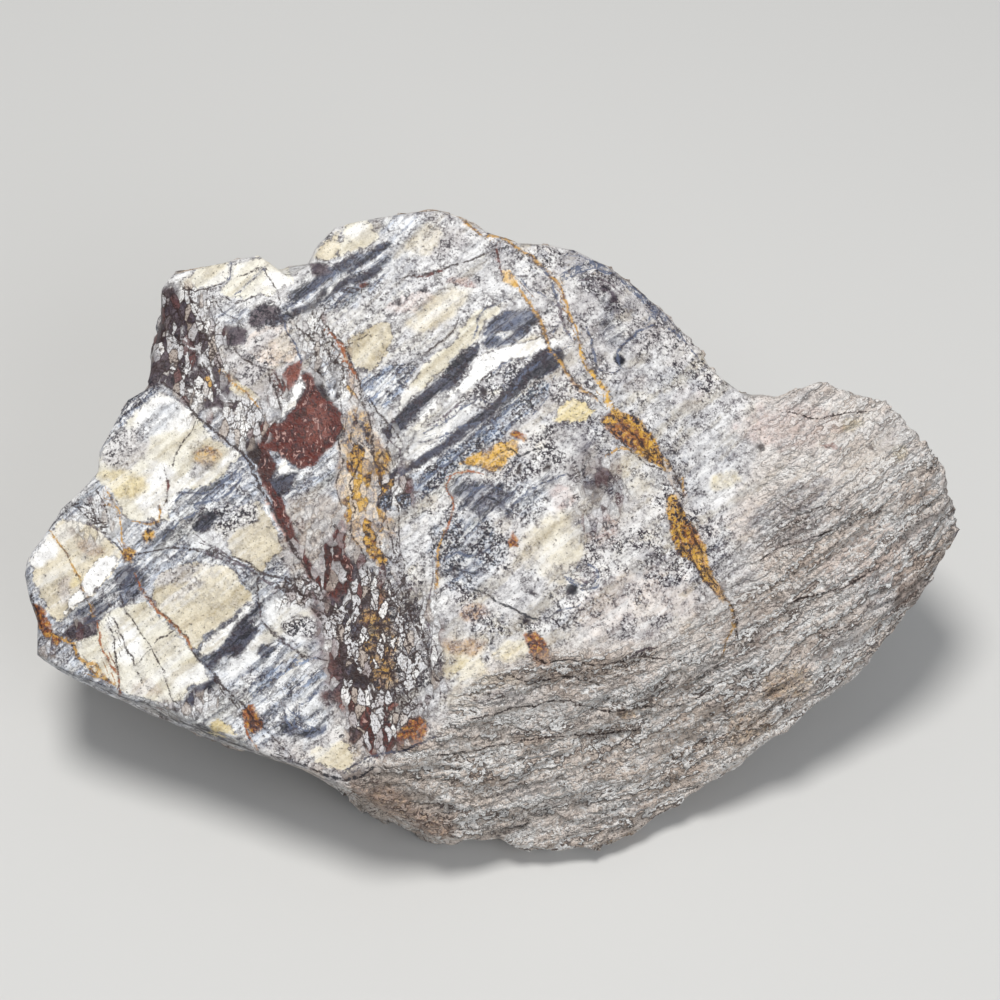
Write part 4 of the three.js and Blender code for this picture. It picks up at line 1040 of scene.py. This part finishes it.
    "veinCoreA": ("umber", 1.1, 656, 450, 664, 466, 672, 482, 681, 500),
    "veinCore": ("taupe", 2.2, 661, 458, 668, 473, 676, 489, 682, 503),
    "veinCoreB": ("umber", 1, 666, 458, 675, 472, 684, 490, 686, 504),
    "veinCoreGold": ("ochre", 1.12, 682, 476, 685, 486, 686, 498),
    "veinKnot": ("ink", 2, 681, 504, 681, 512, 680, 520),
    "veinDarkA": ("umber", 1.2, 616, 416, 628, 430, 642, 446, 654, 458),
    "veinDarkB": ("umber", 1, 606, 426, 618, 438, 634, 454, 650, 466, 660, 470),
    "veinDarkC": ("umber", 1, 690, 532, 698, 546, 706, 566, 716, 584),
    "veinDarkD": ("umber", 0.9, 674, 530, 680, 548, 692, 560, 704, 576, 716, 592),
    "veinTailA": ("ochre", 0.98, 726, 598, 731, 612, 733, 626, 727, 640, 724, 656),
    "veinTailB": ("umber", 0.9, 718, 586, 727, 600, 735, 618, 738, 636),
    "beigeLine": ("ochre", 0.9, 606, 456, 616, 450, 628, 450, 640, 456),
    "dashA": ("ink", 1.4, 472, 587, 484, 591, 493, 596, 496, 603),
    "dashB": ("ink", 1.4, 496, 603, 508, 607, 520, 613, 534, 618, 542, 622),
    "dashC": ("slate", 1, 542, 620, 554, 613, 566, 608, 580, 604),
    "dashD": ("ink", 1.3, 500, 454, 508, 448, 518, 454, 530, 452, 540, 448),
    "dashE": ("slate", 1.1, 504, 478, 508, 468, 514, 462),
    "agateA": ("slate", 1, 568, 570, 576, 564, 588, 562, 598, 568, 600, 576, 592, 582, 578, 583, 568, 578,
        568, 571),
    "agateB": ("plum", 0.7, 573, 573, 582, 568, 592, 570, 595, 576, 587, 580, 576, 579, 572, 574),
    "agateC": ("slate", 0.7, 563, 574, 568, 582, 580, 588, 596, 586, 604, 578),
    "flowA": ("slate", 0.8, 520, 500, 530, 492, 540, 484, 556, 480, 566, 474),
    "flowB": ("slate", 0.8, 508, 520, 516, 508, 524, 500),
    "flowC": ("plum", 0.8, 590, 466, 600, 470, 612, 478, 622, 490),
    "flowD": ("slate", 0.8, 468, 500, 476, 490, 488, 486, 500, 490, 508, 500),
    "flowE": ("ink", 1, 474, 508, 486, 500, 498, 502, 508, 512, 516, 522),
    "flowF": ("slate", 0.8, 444, 560, 456, 552, 470, 556, 484, 552, 496, 544),
    "flowG": ("ink", 0.9, 442, 574, 458, 568, 474, 574, 488, 570),
    "layerA": ("umber", 0.9, 520, 656, 545, 662, 570, 660, 600, 664, 640, 656, 680, 658),
    "layerB": ("plum", 1.6, 634, 656, 646, 650, 660, 646),
    "layerC": ("umber", 0.9, 560, 700, 585, 705, 610, 712, 640, 708, 680, 704, 710, 694),
    "layerD": ("umber", 0.9, 470, 720, 500, 712, 530, 706, 560, 700),
    "layerE": ("umber", 0.9, 420, 760, 460, 750, 500, 744, 540, 738, 600, 734, 650, 728),
    "layerF": ("umber", 0.8, 500, 676, 530, 678, 560, 676, 600, 682),
    "lobeLineA": ("umber", 0.8, 760, 560, 780, 545, 800, 540, 830, 530),
    "lobeLineB": ("umber", 0.9, 760, 610, 800, 600, 840, 590, 870, 574, 900, 560),
    "lobeLineC": ("umber", 0.9, 770, 690, 790, 686, 806, 676),
    "lobeLineD": ("umber", 0.8, 790, 412, 815, 417, 840, 414, 866, 410),
    "cornerShadow": ("ink", 2, 306, 764, 330, 776, 348, 780, 362, 774, 376, 768),
}

# How the marks are laid on the stone. Distances are in pixels of the photograph, noise sizes in millimetres
paint = {
    "bandTurn": 40,  # degrees that the porcelain bands climb to the right
    "bandStretch": (0.13, 1, 0.5),
    "bandSway": (16, 1.6),  # size of the noise and how far it bends the bands
    "layerStretch": (0.26, 1, 0.5),
    "layerSway": (9, 1.2),
    "far": 60.0,  # a gap that is as good as none
    "reach": 30,  # round a shape, beyond which it isn't measured
    "drifts": [(7, 3.2), (2.4, 1.8), (1.1, 1.2)],  # size of the noise and how far it moves the marks
    "driftShift": 70,
    "ragged": [(3.1, 0.2), (1.3, 0.22)],  # of the rims of tints
    "washRim": (1.2, 0.75),  # where a tint fades out, and where it is full
    "shapeRim": (2, -2),
    "threadRim": (1.5, -1),
    "threadTip": 0.4,  # width of a line's ends beside its middle
    "paleFrom": (0.04, 0.45),
    "ruddyFrom": (0.45, 0.65),
    "ruddyDark": (0.35, 0.15),
}


def linear(tone):
    shade = np.array(palette[tone][:3]) / 255
    return np.where(shade <= 0.04045, shade / 12.92, ((shade + 0.055) / 1.055) ** 2.4)


def toneRow(tone):  # linear colour, then speckle, streak and rust
    return np.concatenate([linear(tone), palette[tone][3:]])


def cornersOf(numbers):
    return np.array(numbers, float).reshape(-1, 2)


def spotsNear(spots, corners):
    low = corners.min(axis=0) - paint["reach"]
    high = corners.max(axis=0) + paint["reach"]
    return np.flatnonzero(np.all((spots > low) & (spots < high), axis=1))


def washShare(spots, ragged, place, strength):
    x, y, halfWidth, halfHeight, turn = place
    away = spots - np.array([x, y], float)
    c, s = np.cos(np.radians(turn)), np.sin(np.radians(turn))
    across = (away[:, 0] * c - away[:, 1] * s) / halfWidth
    up = (away[:, 0] * s + away[:, 1] * c) / halfHeight
    return strength * smoothStep(*paint["washRim"], np.hypot(across, up) + ragged)


def layOver(sheet, rows, share):
    return sheet + (rows - sheet) * share[:, None]


def washOver(sheet, spots, ragged, tints):
    for tone, strength, *place in tints.values():
        sheet = layOver(sheet, toneRow(tone), washShare(spots, ragged, place, strength))
    return sheet


def blockLayer(spots, shapes):  # the gap to the nearest shape, and that shape's tone
    gap = np.full(len(spots), paint["far"])
    rows = np.tile(toneRow("chalk"), (len(spots), 1))
    for tone, *numbers in shapes.values():
        corners = cornersOf(numbers)
        near = spotsNear(spots, corners)
        if not len(near):
            continue
        here = polygonField(spots[near], corners)
        closer = here < gap[near]
        which = near[closer]
        gap[which] = here[closer]
        rows[which] = toneRow(tone)
    return gap, rows


def threadLayer(spots, lines):  # gap beyond the line's edge, signed distance across, half width, tone
    gap = np.full(len(spots), paint["far"])
    across = np.full(len(spots), paint["far"])
    width = np.ones(len(spots))
    rows = np.tile(toneRow("umber"), (len(spots), 1))
    tip = paint["threadTip"]
    for tone, half, *numbers in lines.values():
        nodes = cornersOf(numbers)
        near = spotsNear(spots, nodes)
        if not len(near):
            continue
        x, y = spots[near].T
        lengths = np.hypot(*np.diff(nodes, axis=0).T)
        starts = np.concatenate([[0], np.cumsum(lengths)])
        for index, ((ax, ay), (bx, by)) in enumerate(zip(nodes[:-1], nodes[1:])):
            dx, dy = bx - ax, by - ay
            along = np.clip(((x - ax) * dx + (y - ay) * dy) / (dx * dx + dy * dy), 0, 1)
            away = np.hypot(x - ax - along * dx, y - ay - along * dy)
            passed = (starts[index] + along * lengths[index]) / starts[-1]
            wide = half * (tip + (1 - tip) * np.sqrt(np.clip(4 * passed * (1 - passed), 0, 1)))
            closer = away - wide < gap[near]
            which = near[closer]
            side = np.sign((x - ax) * dy - (y - ay) * dx)
            gap[which] = (away - wide)[closer]
            across[which] = (away * side)[closer]
            width[which] = wide[closer]
            rows[which] = toneRow(tone)
    return gap, across, width, rows


def paintStone(mesh, points):
    spots = pictureOf(points)
    shifts = (0, paint["driftShift"])
    for size, by in paint["drifts"]:
        spots = spots + np.stack([noise(points + shift, size) for shift in shifts], 1) * by
    ragged = sum(noise(points, size) * by for size, by in paint["ragged"])
    sheet = washOver(np.tile(toneRow("grain"), (len(spots), 1)), spots, ragged, washes)
    crackle = np.zeros(len(spots))
    for strength, *place in brokenZones.values():
        crackle = np.maximum(crackle, washShare(spots, ragged, place, strength))
    keepField(mesh, "crackle", crackle)
    keepColour(mesh, "ground", sheet[:, :3])
    for name, shapes, tints in (("block", blocks, stains), ("chip", chips, {})):
        gap, rows = blockLayer(spots, shapes)
        rows = washOver(rows, spots, ragged, tints)
        keepField(mesh, name + "Gap", gap)
        keepColour(mesh, name, rows[:, :3])
        sheet = layOver(sheet, rows, smoothStep(*paint["shapeRim"], gap))
    gap, across, width, rows = threadLayer(spots, threads)
    keepField(mesh, "threadGap", gap)
    keepField(mesh, "threadAcross", across)
    keepField(mesh, "threadWidth", width)
    keepColour(mesh, "thread", rows[:, :3])
    sheet = layOver(sheet, rows, smoothStep(*paint["threadRim"], gap))
    red, green, blue, speckle, streak, warm = sheet.T
    redder = smoothStep(*paint["ruddyFrom"], (red - blue) / (red + blue))
    keepField(mesh, "pale", smoothStep(*paint["paleFrom"], (red + green + blue) / 3) * (1 - warm))
    keepField(mesh, "ruddy", redder * smoothStep(*paint["ruddyDark"], red))
    keepField(mesh, "warm", warm)
    keepField(mesh, "speckle", speckle)
    keepField(mesh, "streak", streak)


def keepCoordinates(mesh, points):  # along and across the bands, and along and across the layers
    u, v, w = points.T
    turn = np.radians(paint["bandTurn"])
    size, by = paint["bandSway"]
    along = u * np.cos(turn) + v * np.sin(turn)
    across = v * np.cos(turn) - u * np.sin(turn) + noise(points, size) * by
    keepVector(mesh, "banded", np.stack([along, across, w], 1) * paint["bandStretch"])
    size, by = paint["layerSway"]
    layered = np.stack([u, layerHeight(points), w], 1) * paint["layerStretch"]
    layered[:, 1] += noise(points, size) * by
    keepVector(mesh, "layered", layered)


for name, values in (("rough", rough), ("behind", behind), ("crease", crease)):
    keepField(mesh, name, values)
paintStone(mesh, points)
keepCoordinates(mesh, points)
print("markings:", len(blocks) + len(chips), "shapes,", len(threads), "lines")

# A socket of a material that takes part in sums like a number
class Wire:
    def __init__(self, graph, socket):
        self.graph = graph
        self.socket = socket

    def maths(self, operation, *others):
        return self.graph.node("Math", {"operation": operation}, dict(enumerate((self, *others))))

    def __add__(self, other):
        return self.maths("ADD", other)

    def __sub__(self, other):
        return self.maths("SUBTRACT", other)

    def __mul__(self, other):
        return self.maths("MULTIPLY", other)

    def __radd__(self, other):
        return self + other

    def __rmul__(self, other):
        return self * other

    def __rsub__(self, other):
        return self * -1 + other

    def __abs__(self):
        return self.maths("ABSOLUTE")

    def most(self, other):
        return self.maths("MAXIMUM", other)

    def step(self, low, high, strength=1):  # 0 at low, the strength at high, smooth between
        values = {"Value": self, "From Min": low, "From Max": high, "To Max": strength}
        return self.graph.node("MapRange", {"interpolation_type": "SMOOTHSTEP"}, values, "Result")


class Graph:
    def __init__(self, name):
        self.material = bpy.data.materials.new(name)
        self.material.use_nodes = True
        self.tree = self.material.node_tree
        self.shader = self.tree.nodes["Principled BSDF"]

    def plug(self, slot, value):
        if isinstance(value, Wire):
            self.tree.links.new(value.socket, slot)
        else:
            slot.default_value = value

    def node(self, kind, settings, values, output=0):
        made = self.tree.nodes.new("ShaderNode" + kind)
        for name, value in settings.items():
            setattr(made, name, value)
        for name, value in values.items():
            self.plug(made.inputs[name], value)
        return Wire(self, made.outputs[output])

    def kept(self, name, output="Fac"):  # what the mesh carries at each point
        return self.node("Attribute", {"attribute_name": name}, {}, output)

    def vectors(self, operation, *vectors):
        return self.node("VectorMath", {"operation": operation}, dict(enumerate(vectors)))

    def channels(self, colour):
        return [self.node("SeparateColor", {}, {"Color": colour}, index) for index in range(3)]

    def height(self, vector):
        return self.node("SeparateXYZ", {}, {"Vector": vector}, "Y")

    def grain(self, where, name, output=0):
        scale, detail, roughness, shift = grains[name]
        place = self.vectors("ADD", where, (shift, -shift, 2 * shift))
        values = {"Vector": place, "Scale": scale, "Detail": detail, "Roughness": roughness}
        return self.node("TexNoise", {}, values, output)

    def moved(self, where, way, by):  # by a noise colour, up to half of by each way
        centred = self.vectors("ADD", way, (-0.5, -0.5, -0.5))
        return self.vectors("MULTIPLY_ADD", centred, (by, by, by), where)

    def mix(self, share, under, over, blend="MIX"):
        settings = {"data_type": "RGBA", "blend_type": blend}
        return self.node("Mix", settings, {0: share, 6: under, 7: over}, 2)


def shade(tone):
    return (*linear(tone), 1)


# Noise: how many grains to a millimetre, octaves, how rough they are, and a shift that sets it apart
grains = {
    "clouds": (0.15, 3, 0.6, 0),
    "patch": (0.55, 3, 0.65, 17),
    "coarse": (1.05, 3, 0.65, 37),
    "fine": (2.3, 2, 0.6, 23),
    "drift": (0.7, 1, 0.5, 0),
    "bandCloud": (0.3, 3, 0.55, 4),
    "band": (0.95, 3, 0.62, 0),
    "flecks": (1, 2, 0.5, 90),
    "tint": (0.09, 3, 0.6, 71),
    "layer": (0.36, 3, 0.6, 0),
    "layerFine": (1.5, 2, 0.6, 9),
    "backZones": (0.035, 3, 0.6, 3),
    "backGrey": (0.06, 3, 0.6, 51),
    "backRust": (0.08, 3, 0.6, 81),
}

# How each pattern shows: the value where it starts, the one where it is full, and how strong it is there
patterns = {
    "busyClouds": (0.40, 0.58, 0.9), "whiteClouds": (0.52, 0.40, 0.5), "slateClouds": (0.50, 0.58, 0.9),
    "plumClouds": (0.52, 0.60, 0.9), "ivoryClouds": (0.46, 0.36, 0.7),
    "insideShape": (0.9, -0.9), "rim": (1.6, 0.5, 0.7), "rimBroken": (0.47, 0.53),
    "whiteBands": (0.48, 0.34, 0.5), "sandBands": (0.48, 0.66, 0.7), "fogPatches": (0.46, 0.70, 0.35),
    "taupeGrains": (0.50, 0.70),
    "paleRibbon": (0.38, 0.22, 0.75), "darkRibbon": (0.58, 0.78, 0.95), "ribbonEnd": (1.0, 0.93),
    "whiteStreaks": (0.48, 0.40), "inkStreaks": (0.55, 0.61), "lineBroken": (0.42, 0.52),
    "rustPatches": (0.53, 0.60, 0.85), "goldGrains": (0.49, 0.40, 0.9), "warmUmber": (0.53, 0.58, 0.95),
    "warmIvory": (0.42, 0.36, 0.35), "darkFlecks": (0.48, 0.38, 0.75), "roseFlecks": (0.60, 0.65, 0.8),
    "flecksBroken": (0.45, 0.52),
    "mazeCrest": (0.40, 0.05), "mazeSlope": (0.35, 0.80), "mazeFoot": (0.66, 0.82), "mazeEnd": (1.0, 0.95),
    "footBroken": (0.40, 0.50), "whiteGrains": (0.49, 0.40), "specks": (0.655, 0.690), "blots": (0.660, 0.690),
    "chalkSplinters": (0.50, 0.60), "whiteSplinters": (0.76, 0.80), "taupeSplinters": (0.80, 0.84),
    "splinters": (0.38, 0.50, 0.85), "taupeCracks": (0.53, 0.60, 0.6), "net": (0.10, 0.03),
    "netFine": (0.07, 0.01, 0.8),
    "clayTint": (0.50, 0.62, 0.35), "blueTint": (0.44, 0.34, 0.3), "creaseDark": (0.3, 1.0, 0.2),
    # The ripple patterns below set the painted shadows under the ledges, the painted highlights on the crests
    # and the painted shade down the slopes
    "drop": (0.81, 0.92), "dropEnd": (1.0, 0.97), "dropBroken": (0.40, 0.50), "dropFine": (0.75, 0.89, 0.8),
    "dropFineEnd": (1.0, 0.95), "dropFineBroken": (0.44, 0.53), "crest": (0.35, 0.02),
    "crestFine": (0.40, 0.05, 0.8), "claySlope": (0.50, 0.85, 0.22), "plumGrains": (0.62, 0.67, 0.5),
    "threadEdge": (0.6, -0.4), "threadNear": (4.5, 3.0), "threadBroken": (0.40, 0.46, 0.6),
    "threadDark": (0.49, 0.55, 0.7),
    "backClay": (0.42, 0.60), "backSlate": (0.56, 0.68, 0.8), "backOchre": (0.60, 0.70, 0.8),
    "backSpecks": (0.60, 0.66, 0.7),
}

# A share that grows with another one: how fast, and what it starts from
shares = {
    "sawn": (-0.8, 1), "busy": (1, 0.35), "taupeGrains": (0.6, 0.12), "bandLines": (0.8, 0.07),
    "mazeCrest": (1, 0.06), "mazeSlope": (0.7, 0.04), "mazeFoot": (1.7, 0.02), "whiteGrains": (0.6, 0.08),
    "specks": (0.25, 0.65), "thread": (1, 0.4), "roughness": (0.3, 0.5),
}

# How far things move, how dark or pale they are, and what the contour patterns are summed up from
amounts = {
    "wander": (7, 8, 3),  # of the edges of shapes: by patches, coarse and fine grains, in pixels
    "ribbons": (0.42, 2.4),  # a contour runs where such a sum passes a whole number
    "maze": (2.4, 0.9),
    "ripples": (0.12, 2.6, 1.0),
    "ripplesFine": (0.3, 3, 2.4, 0.6),
    "bandLines": [(0.505, 0.022, 0.006), (0.43, 0.014, 0.004)],  # middle, half width, width of the core
    "speckBusy": 0.12,
    "bandDrift": 0.8,
    "fleckDrift": 2.2,
    "splinterDrift": 0.9,
    "layerDrift": 1.3,
    "fleckStretch": (2.0, 0.6, 0.6),
    "splinterStretch": (1.45, 0.7, 0.7),
    "splinterScale": 0.52,
    "netScale": 1.3,
    "netWander": (0.35, 0.5),
    "netDark": 0.95,
    "paleCrust": 0.5,
    # Strengths of the painted highlight on ripple crests and of the painted shadow under their ledges
    "crestWhite": 0.9,
    "lineDark": 0.8,
    "threadSlim": (0.7, 5, 4),  # how much of the width, then how it wanders by fine grains and patches
    "threadDark": 0.92,
    "backCrest": 0.5,
    "backLines": 0.7,
    "roughBump": (1.7, 0.9, 1.2, 0.4),  # ripples, fine ripples, coarse and fine grains
    "sawnBump": (0.04, 0.3),  # maze, coarse grains
    "bumpHeight": 0.0008,
    "gloss": 0.35,
}


def contours(name, *wires):
    return weighed(name, *wires).maths("FRACT")


def weighed(name, *wires):
    return sum(wire * by for wire, by in zip(wires, amounts[name]))


def part(wire, name):
    return wire.step(*patterns[name])


def grow(wire, name):
    rate, start = shares[name]
    return wire * rate + start


def stoneMaterial():
    graph = Graph("jasper")
    millimetres = (1000, 1000, 1000)
    place = graph.vectors("MULTIPLY", graph.node("TexCoord", {}, {}, "Object"), millimetres)
    rough, behind, crease, speckle, streak, crackle, pale, warm, ruddy = [
        graph.kept(name)
        for name in ("rough", "behind", "crease", "speckle", "streak", "crackle", "pale", "warm", "ruddy")
    ]
    colour = graph.kept("ground", "Color")

    def lay(share, tone, blend="MIX"):
        nonlocal colour
        over = tone if isinstance(tone, Wire) else shade(tone)
        colour = graph.mix(share, colour, over, blend)

    def stain(share, tone):
        lay(share, tone, "MULTIPLY")

    # Noise of several sizes, shared by everything below
    cloud, cloudBlue, cloudPlum = graph.channels(graph.grain(place, "clouds", "Color"))
    patch, coarse, fine = [graph.grain(place, name) for name in ("patch", "coarse", "fine")]
    drift = graph.grain(place, "drift", "Color")
    sawn = grow(rough, "sawn")
    busy = speckle * grow(part(cloud, "busyClouds"), "busy") * sawn

    lay(speckle * part(cloud, "whiteClouds") * pale, "white")
    lay(busy * part(cloudBlue, "slateClouds"), "slate")
    lay(busy * part(cloudPlum, "plumClouds"), "plum")
    lay(busy * part(cloudPlum, "ivoryClouds"), "ivory")

    # The edges of shapes wander by a pixel or two of the photograph
    wander = weighed("wander", patch - 0.5, coarse - 0.5, fine - 0.5)
    for name in ("block", "chip"):
        gap = graph.kept(name + "Gap") + wander
        lay(part(gap, "insideShape"), graph.kept(name, "Color"))
        lay(part(abs(gap), "rim") * part(patch, "rimBroken") * sawn, "dusk")

    # Clouds of tone inside each shape, drawn out along the bands
    banded = graph.moved(graph.kept("banded", "Vector"), drift, amounts["bandDrift"])
    bandCloud = graph.grain(banded, "bandCloud")
    lay(part(bandCloud, "whiteBands") * pale * sawn, "white")
    stain(part(bandCloud, "sandBands") * sawn, "sand")
    stain(part(patch, "fogPatches") * sawn, "fog")
    stain(part(coarse, "taupeGrains") * grow(busy, "taupeGrains"), "taupe")

    # Ribbons, streaks and thin lines along the bands
    ribbon = contours("ribbons", graph.height(banded), bandCloud)
    lay(part(ribbon, "paleRibbon") * streak * pale, "white")
    lay(part(ribbon, "darkRibbon") * part(ribbon, "ribbonEnd") * streak, "night")
    band = graph.grain(banded, "band")
    lay(part(band, "whiteStreaks") * streak * pale, "white")
    lay(part(band, "inkStreaks") * streak, "ink")
    first, second = [abs(band - middle).step(wide, core) for middle, wide, core in amounts["bandLines"]]
    lay(first.most(second) * grow(streak, "bandLines") * part(patch, "lineBroken") * sawn, "umber")

    # Warm parts: rust and gold through each other. Red parts have pale upright flecks
    lay(warm * part(patch, "rustPatches"), "rust")
    lay(warm * part(coarse, "goldGrains"), "gold")
    lay(warm * part(coarse, "warmUmber"), "umber")
    lay(warm * part(fine, "warmIvory"), "ivory")
    bumpy = graph.moved(place, drift, amounts["fleckDrift"])
    flecks = graph.grain(graph.vectors("MULTIPLY", bumpy, amounts["fleckStretch"]), "flecks")
    lay(ruddy * part(flecks, "darkFlecks"), "umber")
    lay(ruddy * part(flecks, "roseFlecks") * part(patch, "flecksBroken"), "rose")

    # A maze of fine curls: each has a pale crest, a grey slope and a thin dark foot
    maze = contours("maze", patch, coarse)
    foot = part(maze, "mazeFoot") * part(maze, "mazeEnd") * part(coarse, "footBroken")
    lay(part(maze, "mazeCrest") * grow(busy, "mazeCrest") * pale, "white")
    stain(part(maze, "mazeSlope") * grow(busy, "mazeSlope"), "greyGrain")
    lay(foot * grow(busy, "mazeFoot"), "dusk")
    lay(part(fine, "whiteGrains") * grow(busy, "whiteGrains") * pale, "white")
    more = busy * amounts["speckBusy"]
    specks = part(fine + more, "specks").most(part(coarse + more, "blots"))
    lay(specks * grow(busy, "specks"), "ink")

    # The broken zones: splinters of many tones in a dark net
    splinters = graph.moved(place, drift, amounts["splinterDrift"])
    splinters = graph.vectors("MULTIPLY", splinters, amounts["splinterStretch"])
    cells = {"Vector": splinters, "Scale": amounts["splinterScale"], "Randomness": 1}
    red, green, blue = graph.channels(graph.node("TexVoronoi", {}, cells, "Color"))
    toEdge = {"feature": "DISTANCE_TO_EDGE"}
    net = graph.node("TexVoronoi", toEdge, cells, "Distance")
    netFine = graph.node("TexVoronoi", toEdge, cells | {"Scale": amounts["netScale"]}, "Distance")
    splinterTone = graph.mix(part(red, "chalkSplinters"), shade("maroon"), shade("chalk"))
    splinterTone = graph.mix(part(green, "whiteSplinters"), splinterTone, shade("white"))
    splinterTone = graph.mix(part(blue, "taupeSplinters"), splinterTone, shade("taupe"))
    lay(crackle * part(red, "splinters"), splinterTone)
    stain(crackle * part(coarse, "taupeCracks"), "taupe")
    netSway, netFineSway = [(fine - 0.5) * by for by in amounts["netWander"]]
    cracks = part(net + netSway, "net").most(part(netFine + netFineSway, "netFine"))
    lay(crackle * cracks * amounts["netDark"], "umber")

    # The rough parts: tints in clouds, then ripples along the layers, each with a painted highlight on its
    # crest, painted shade down its slope and a thin painted shadow under its ledge
    tint = graph.grain(place, "tint")
    lay(rough * amounts["paleCrust"], "crustPale")
    stain(rough * part(tint, "clayTint"), "clay")
    stain(rough * part(tint, "blueTint"), "paleBlue")
    layered = graph.moved(graph.kept("layered", "Vector"), drift, amounts["layerDrift"])
    layer, layerFine = graph.grain(layered, "layer"), graph.grain(layered, "layerFine")
    across = graph.height(layered)
    ripple = contours("ripples", across, layer, patch)
    rippleFine = contours("ripplesFine", across, layer, patch, layerFine)
    drop = part(ripple, "drop") * part(ripple, "dropEnd") * part(layerFine, "dropBroken")
    dropFine = part(rippleFine, "dropFine") * part(rippleFine, "dropFineEnd")
    # The thin painted shadows under the ledges, wide and fine
    lines = drop.most(dropFine * part(coarse, "dropFineBroken"))
    crest = part(ripple, "crest").most(part(rippleFine, "crestFine"))
    # Painted highlight on the crests, painted shade down the slopes in a clay tint, painted shadow under the
    # ledges
    lay(rough * crest * amounts["crestWhite"] * pale, "white")
    stain(rough * part(ripple, "claySlope"), "clay")
    lay(rough * lines * amounts["lineDark"], "umber")
    lay(rough * part(fine, "plumGrains"), "plum")
    # Painted shade in the creases of the rough relief
    lay(part(crease, "creaseDark"), "umber")

    # Lines and veins on top, broken and of uneven width
    ofWidth, byFine, byPatch = amounts["threadSlim"]
    slim = abs(graph.kept("threadAcross")) - graph.kept("threadWidth") * ofWidth
    slim = slim + (fine - 0.5) * byFine + (patch - 0.5) * byPatch
    thread = part(slim, "threadEdge") * part(graph.kept("threadGap"), "threadNear")
    thread = thread * grow(part(coarse, "threadBroken"), "thread")
    threadTone = graph.mix(part(patch, "threadDark"), graph.kept("thread", "Color"), shade("umber"))
    lay(thread * amounts["threadDark"], threadTone)

    # The sides and the back: the same rock, broken and weathered, with the ripples' painted crest highlights
    # and painted ledge shadows
    back = graph.mix(part(graph.grain(place, "backZones"), "backClay"), shade("fog"), shade("clay"))
    back = graph.mix(part(graph.grain(place, "backGrey"), "backSlate"), back, shade("slate"))
    back = graph.mix(part(graph.grain(place, "backRust"), "backOchre"), back, shade("ochre"))
    # Painted highlight on the ripple crests and painted shadow under the ledges, as on the front
    back = graph.mix(crest * amounts["backCrest"], back, shade("white"))
    back = graph.mix(lines * amounts["backLines"], back, shade("umber"))
    back = graph.mix(part(fine, "backSpecks"), back, shade("ink"))
    lay(behind, back)

    graph.plug(graph.shader.inputs["Base Color"], colour)
    graph.plug(graph.shader.inputs["Roughness"], grow(rough, "roughness"))
    graph.shader.inputs["Specular IOR Level"].default_value = amounts["gloss"]
    bumpOfRough = weighed("roughBump", ripple, rippleFine, coarse, fine) * rough
    bumpOfSawn = weighed("sawnBump", maze, coarse) * (1 - rough)
    bump = {"Height": bumpOfRough + bumpOfSawn, "Strength": 1, "Distance": amounts["bumpHeight"]}
    graph.plug(graph.shader.inputs["Normal"], graph.node("Bump", {}, bump))
    return graph.material


material = stoneMaterial()

stone = bpy.data.objects.new("jasperStone", mesh)
bpy.context.scene.collection.objects.link(stone)
mesh.materials.append(material)
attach(stone, "root")
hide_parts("stone")
print("stone placed")

# The room: a pale floor, a soft light from above and behind, and a weaker one from the front
room = {
    "floorSize": 6,
    "floorColour": (0.62, 0.62, 0.61, 1),
    "floorRoughness": 0.8,
    "lampAim": (0, 0, 0.04),
    "worldColour": (0.80, 0.82, 0.85, 1),
    "worldStrength": 0.35,
    "lamps": [  # name, place, size, watts, colour
        ("keyLamp", (-0.12, -0.05, 1.0), 0.3, 7.5, (1, 0.98, 0.95)),
        ("fillLamp", (0.7, -0.8, 0.7), 0.9, 5.2, (0.95, 0.97, 1)),
    ],
}


def makeRoom():
    scene = bpy.context.scene
    floorMesh = bpy.data.meshes.new("floor")
    half = room["floorSize"] / 2
    corners = [(-half, -half, 0), (half, -half, 0), (half, half, 0), (-half, half, 0)]
    floorMesh.from_pydata(corners, [], [(0, 1, 2, 3)])
    floor = bpy.data.objects.new("floor", floorMesh)
    scene.collection.objects.link(floor)
    paint = bpy.data.materials.new("floorPaint")
    paint.use_nodes = True
    shader = paint.node_tree.nodes["Principled BSDF"]
    shader.inputs["Base Color"].default_value = room["floorColour"]
    shader.inputs["Roughness"].default_value = room["floorRoughness"]
    floorMesh.materials.append(paint)
    world = bpy.data.worlds.new("studio")
    world.use_nodes = True
    world.node_tree.nodes["Background"].inputs["Color"].default_value = room["worldColour"]
    world.node_tree.nodes["Background"].inputs["Strength"].default_value = room["worldStrength"]
    scene.world = world
    for name, place, size, watts, colour in room["lamps"]:
        light = bpy.data.lights.new(name, "AREA")
        light.shape = "DISK"
        light.size = size
        light.energy = watts
        light.color = colour
        lamp = bpy.data.objects.new(name, light)
        lamp.location = place
        aim = Vector(room["lampAim"]) - Vector(place)
        lamp.rotation_euler = aim.to_track_quat("-Z", "Y").to_euler()
        scene.collection.objects.link(lamp)
    scene.view_settings.view_transform = "Standard"


def makeCamera():
    scene = bpy.context.scene
    lens = bpy.data.cameras.new("photoCamera")
    lens.sensor_width = sight["sensor"]
    lens.lens = sight["sensor"] / 2 * sight["distance"] / (sight["centre"] * sight["pixel"])
    camera = bpy.data.objects.new("photoCamera", lens)
    eye, aim = placesOf(np.array([[0, 0, sight["distance"]], [0, 0, 0]], float))
    camera.location = eye
    camera.rotation_euler = (Vector(aim) - Vector(eye)).to_track_quat("-Z", "Y").to_euler()
    scene.collection.objects.link(camera)
    scene.camera = camera


makeRoom()
makeCamera()
print("room, lights and camera")
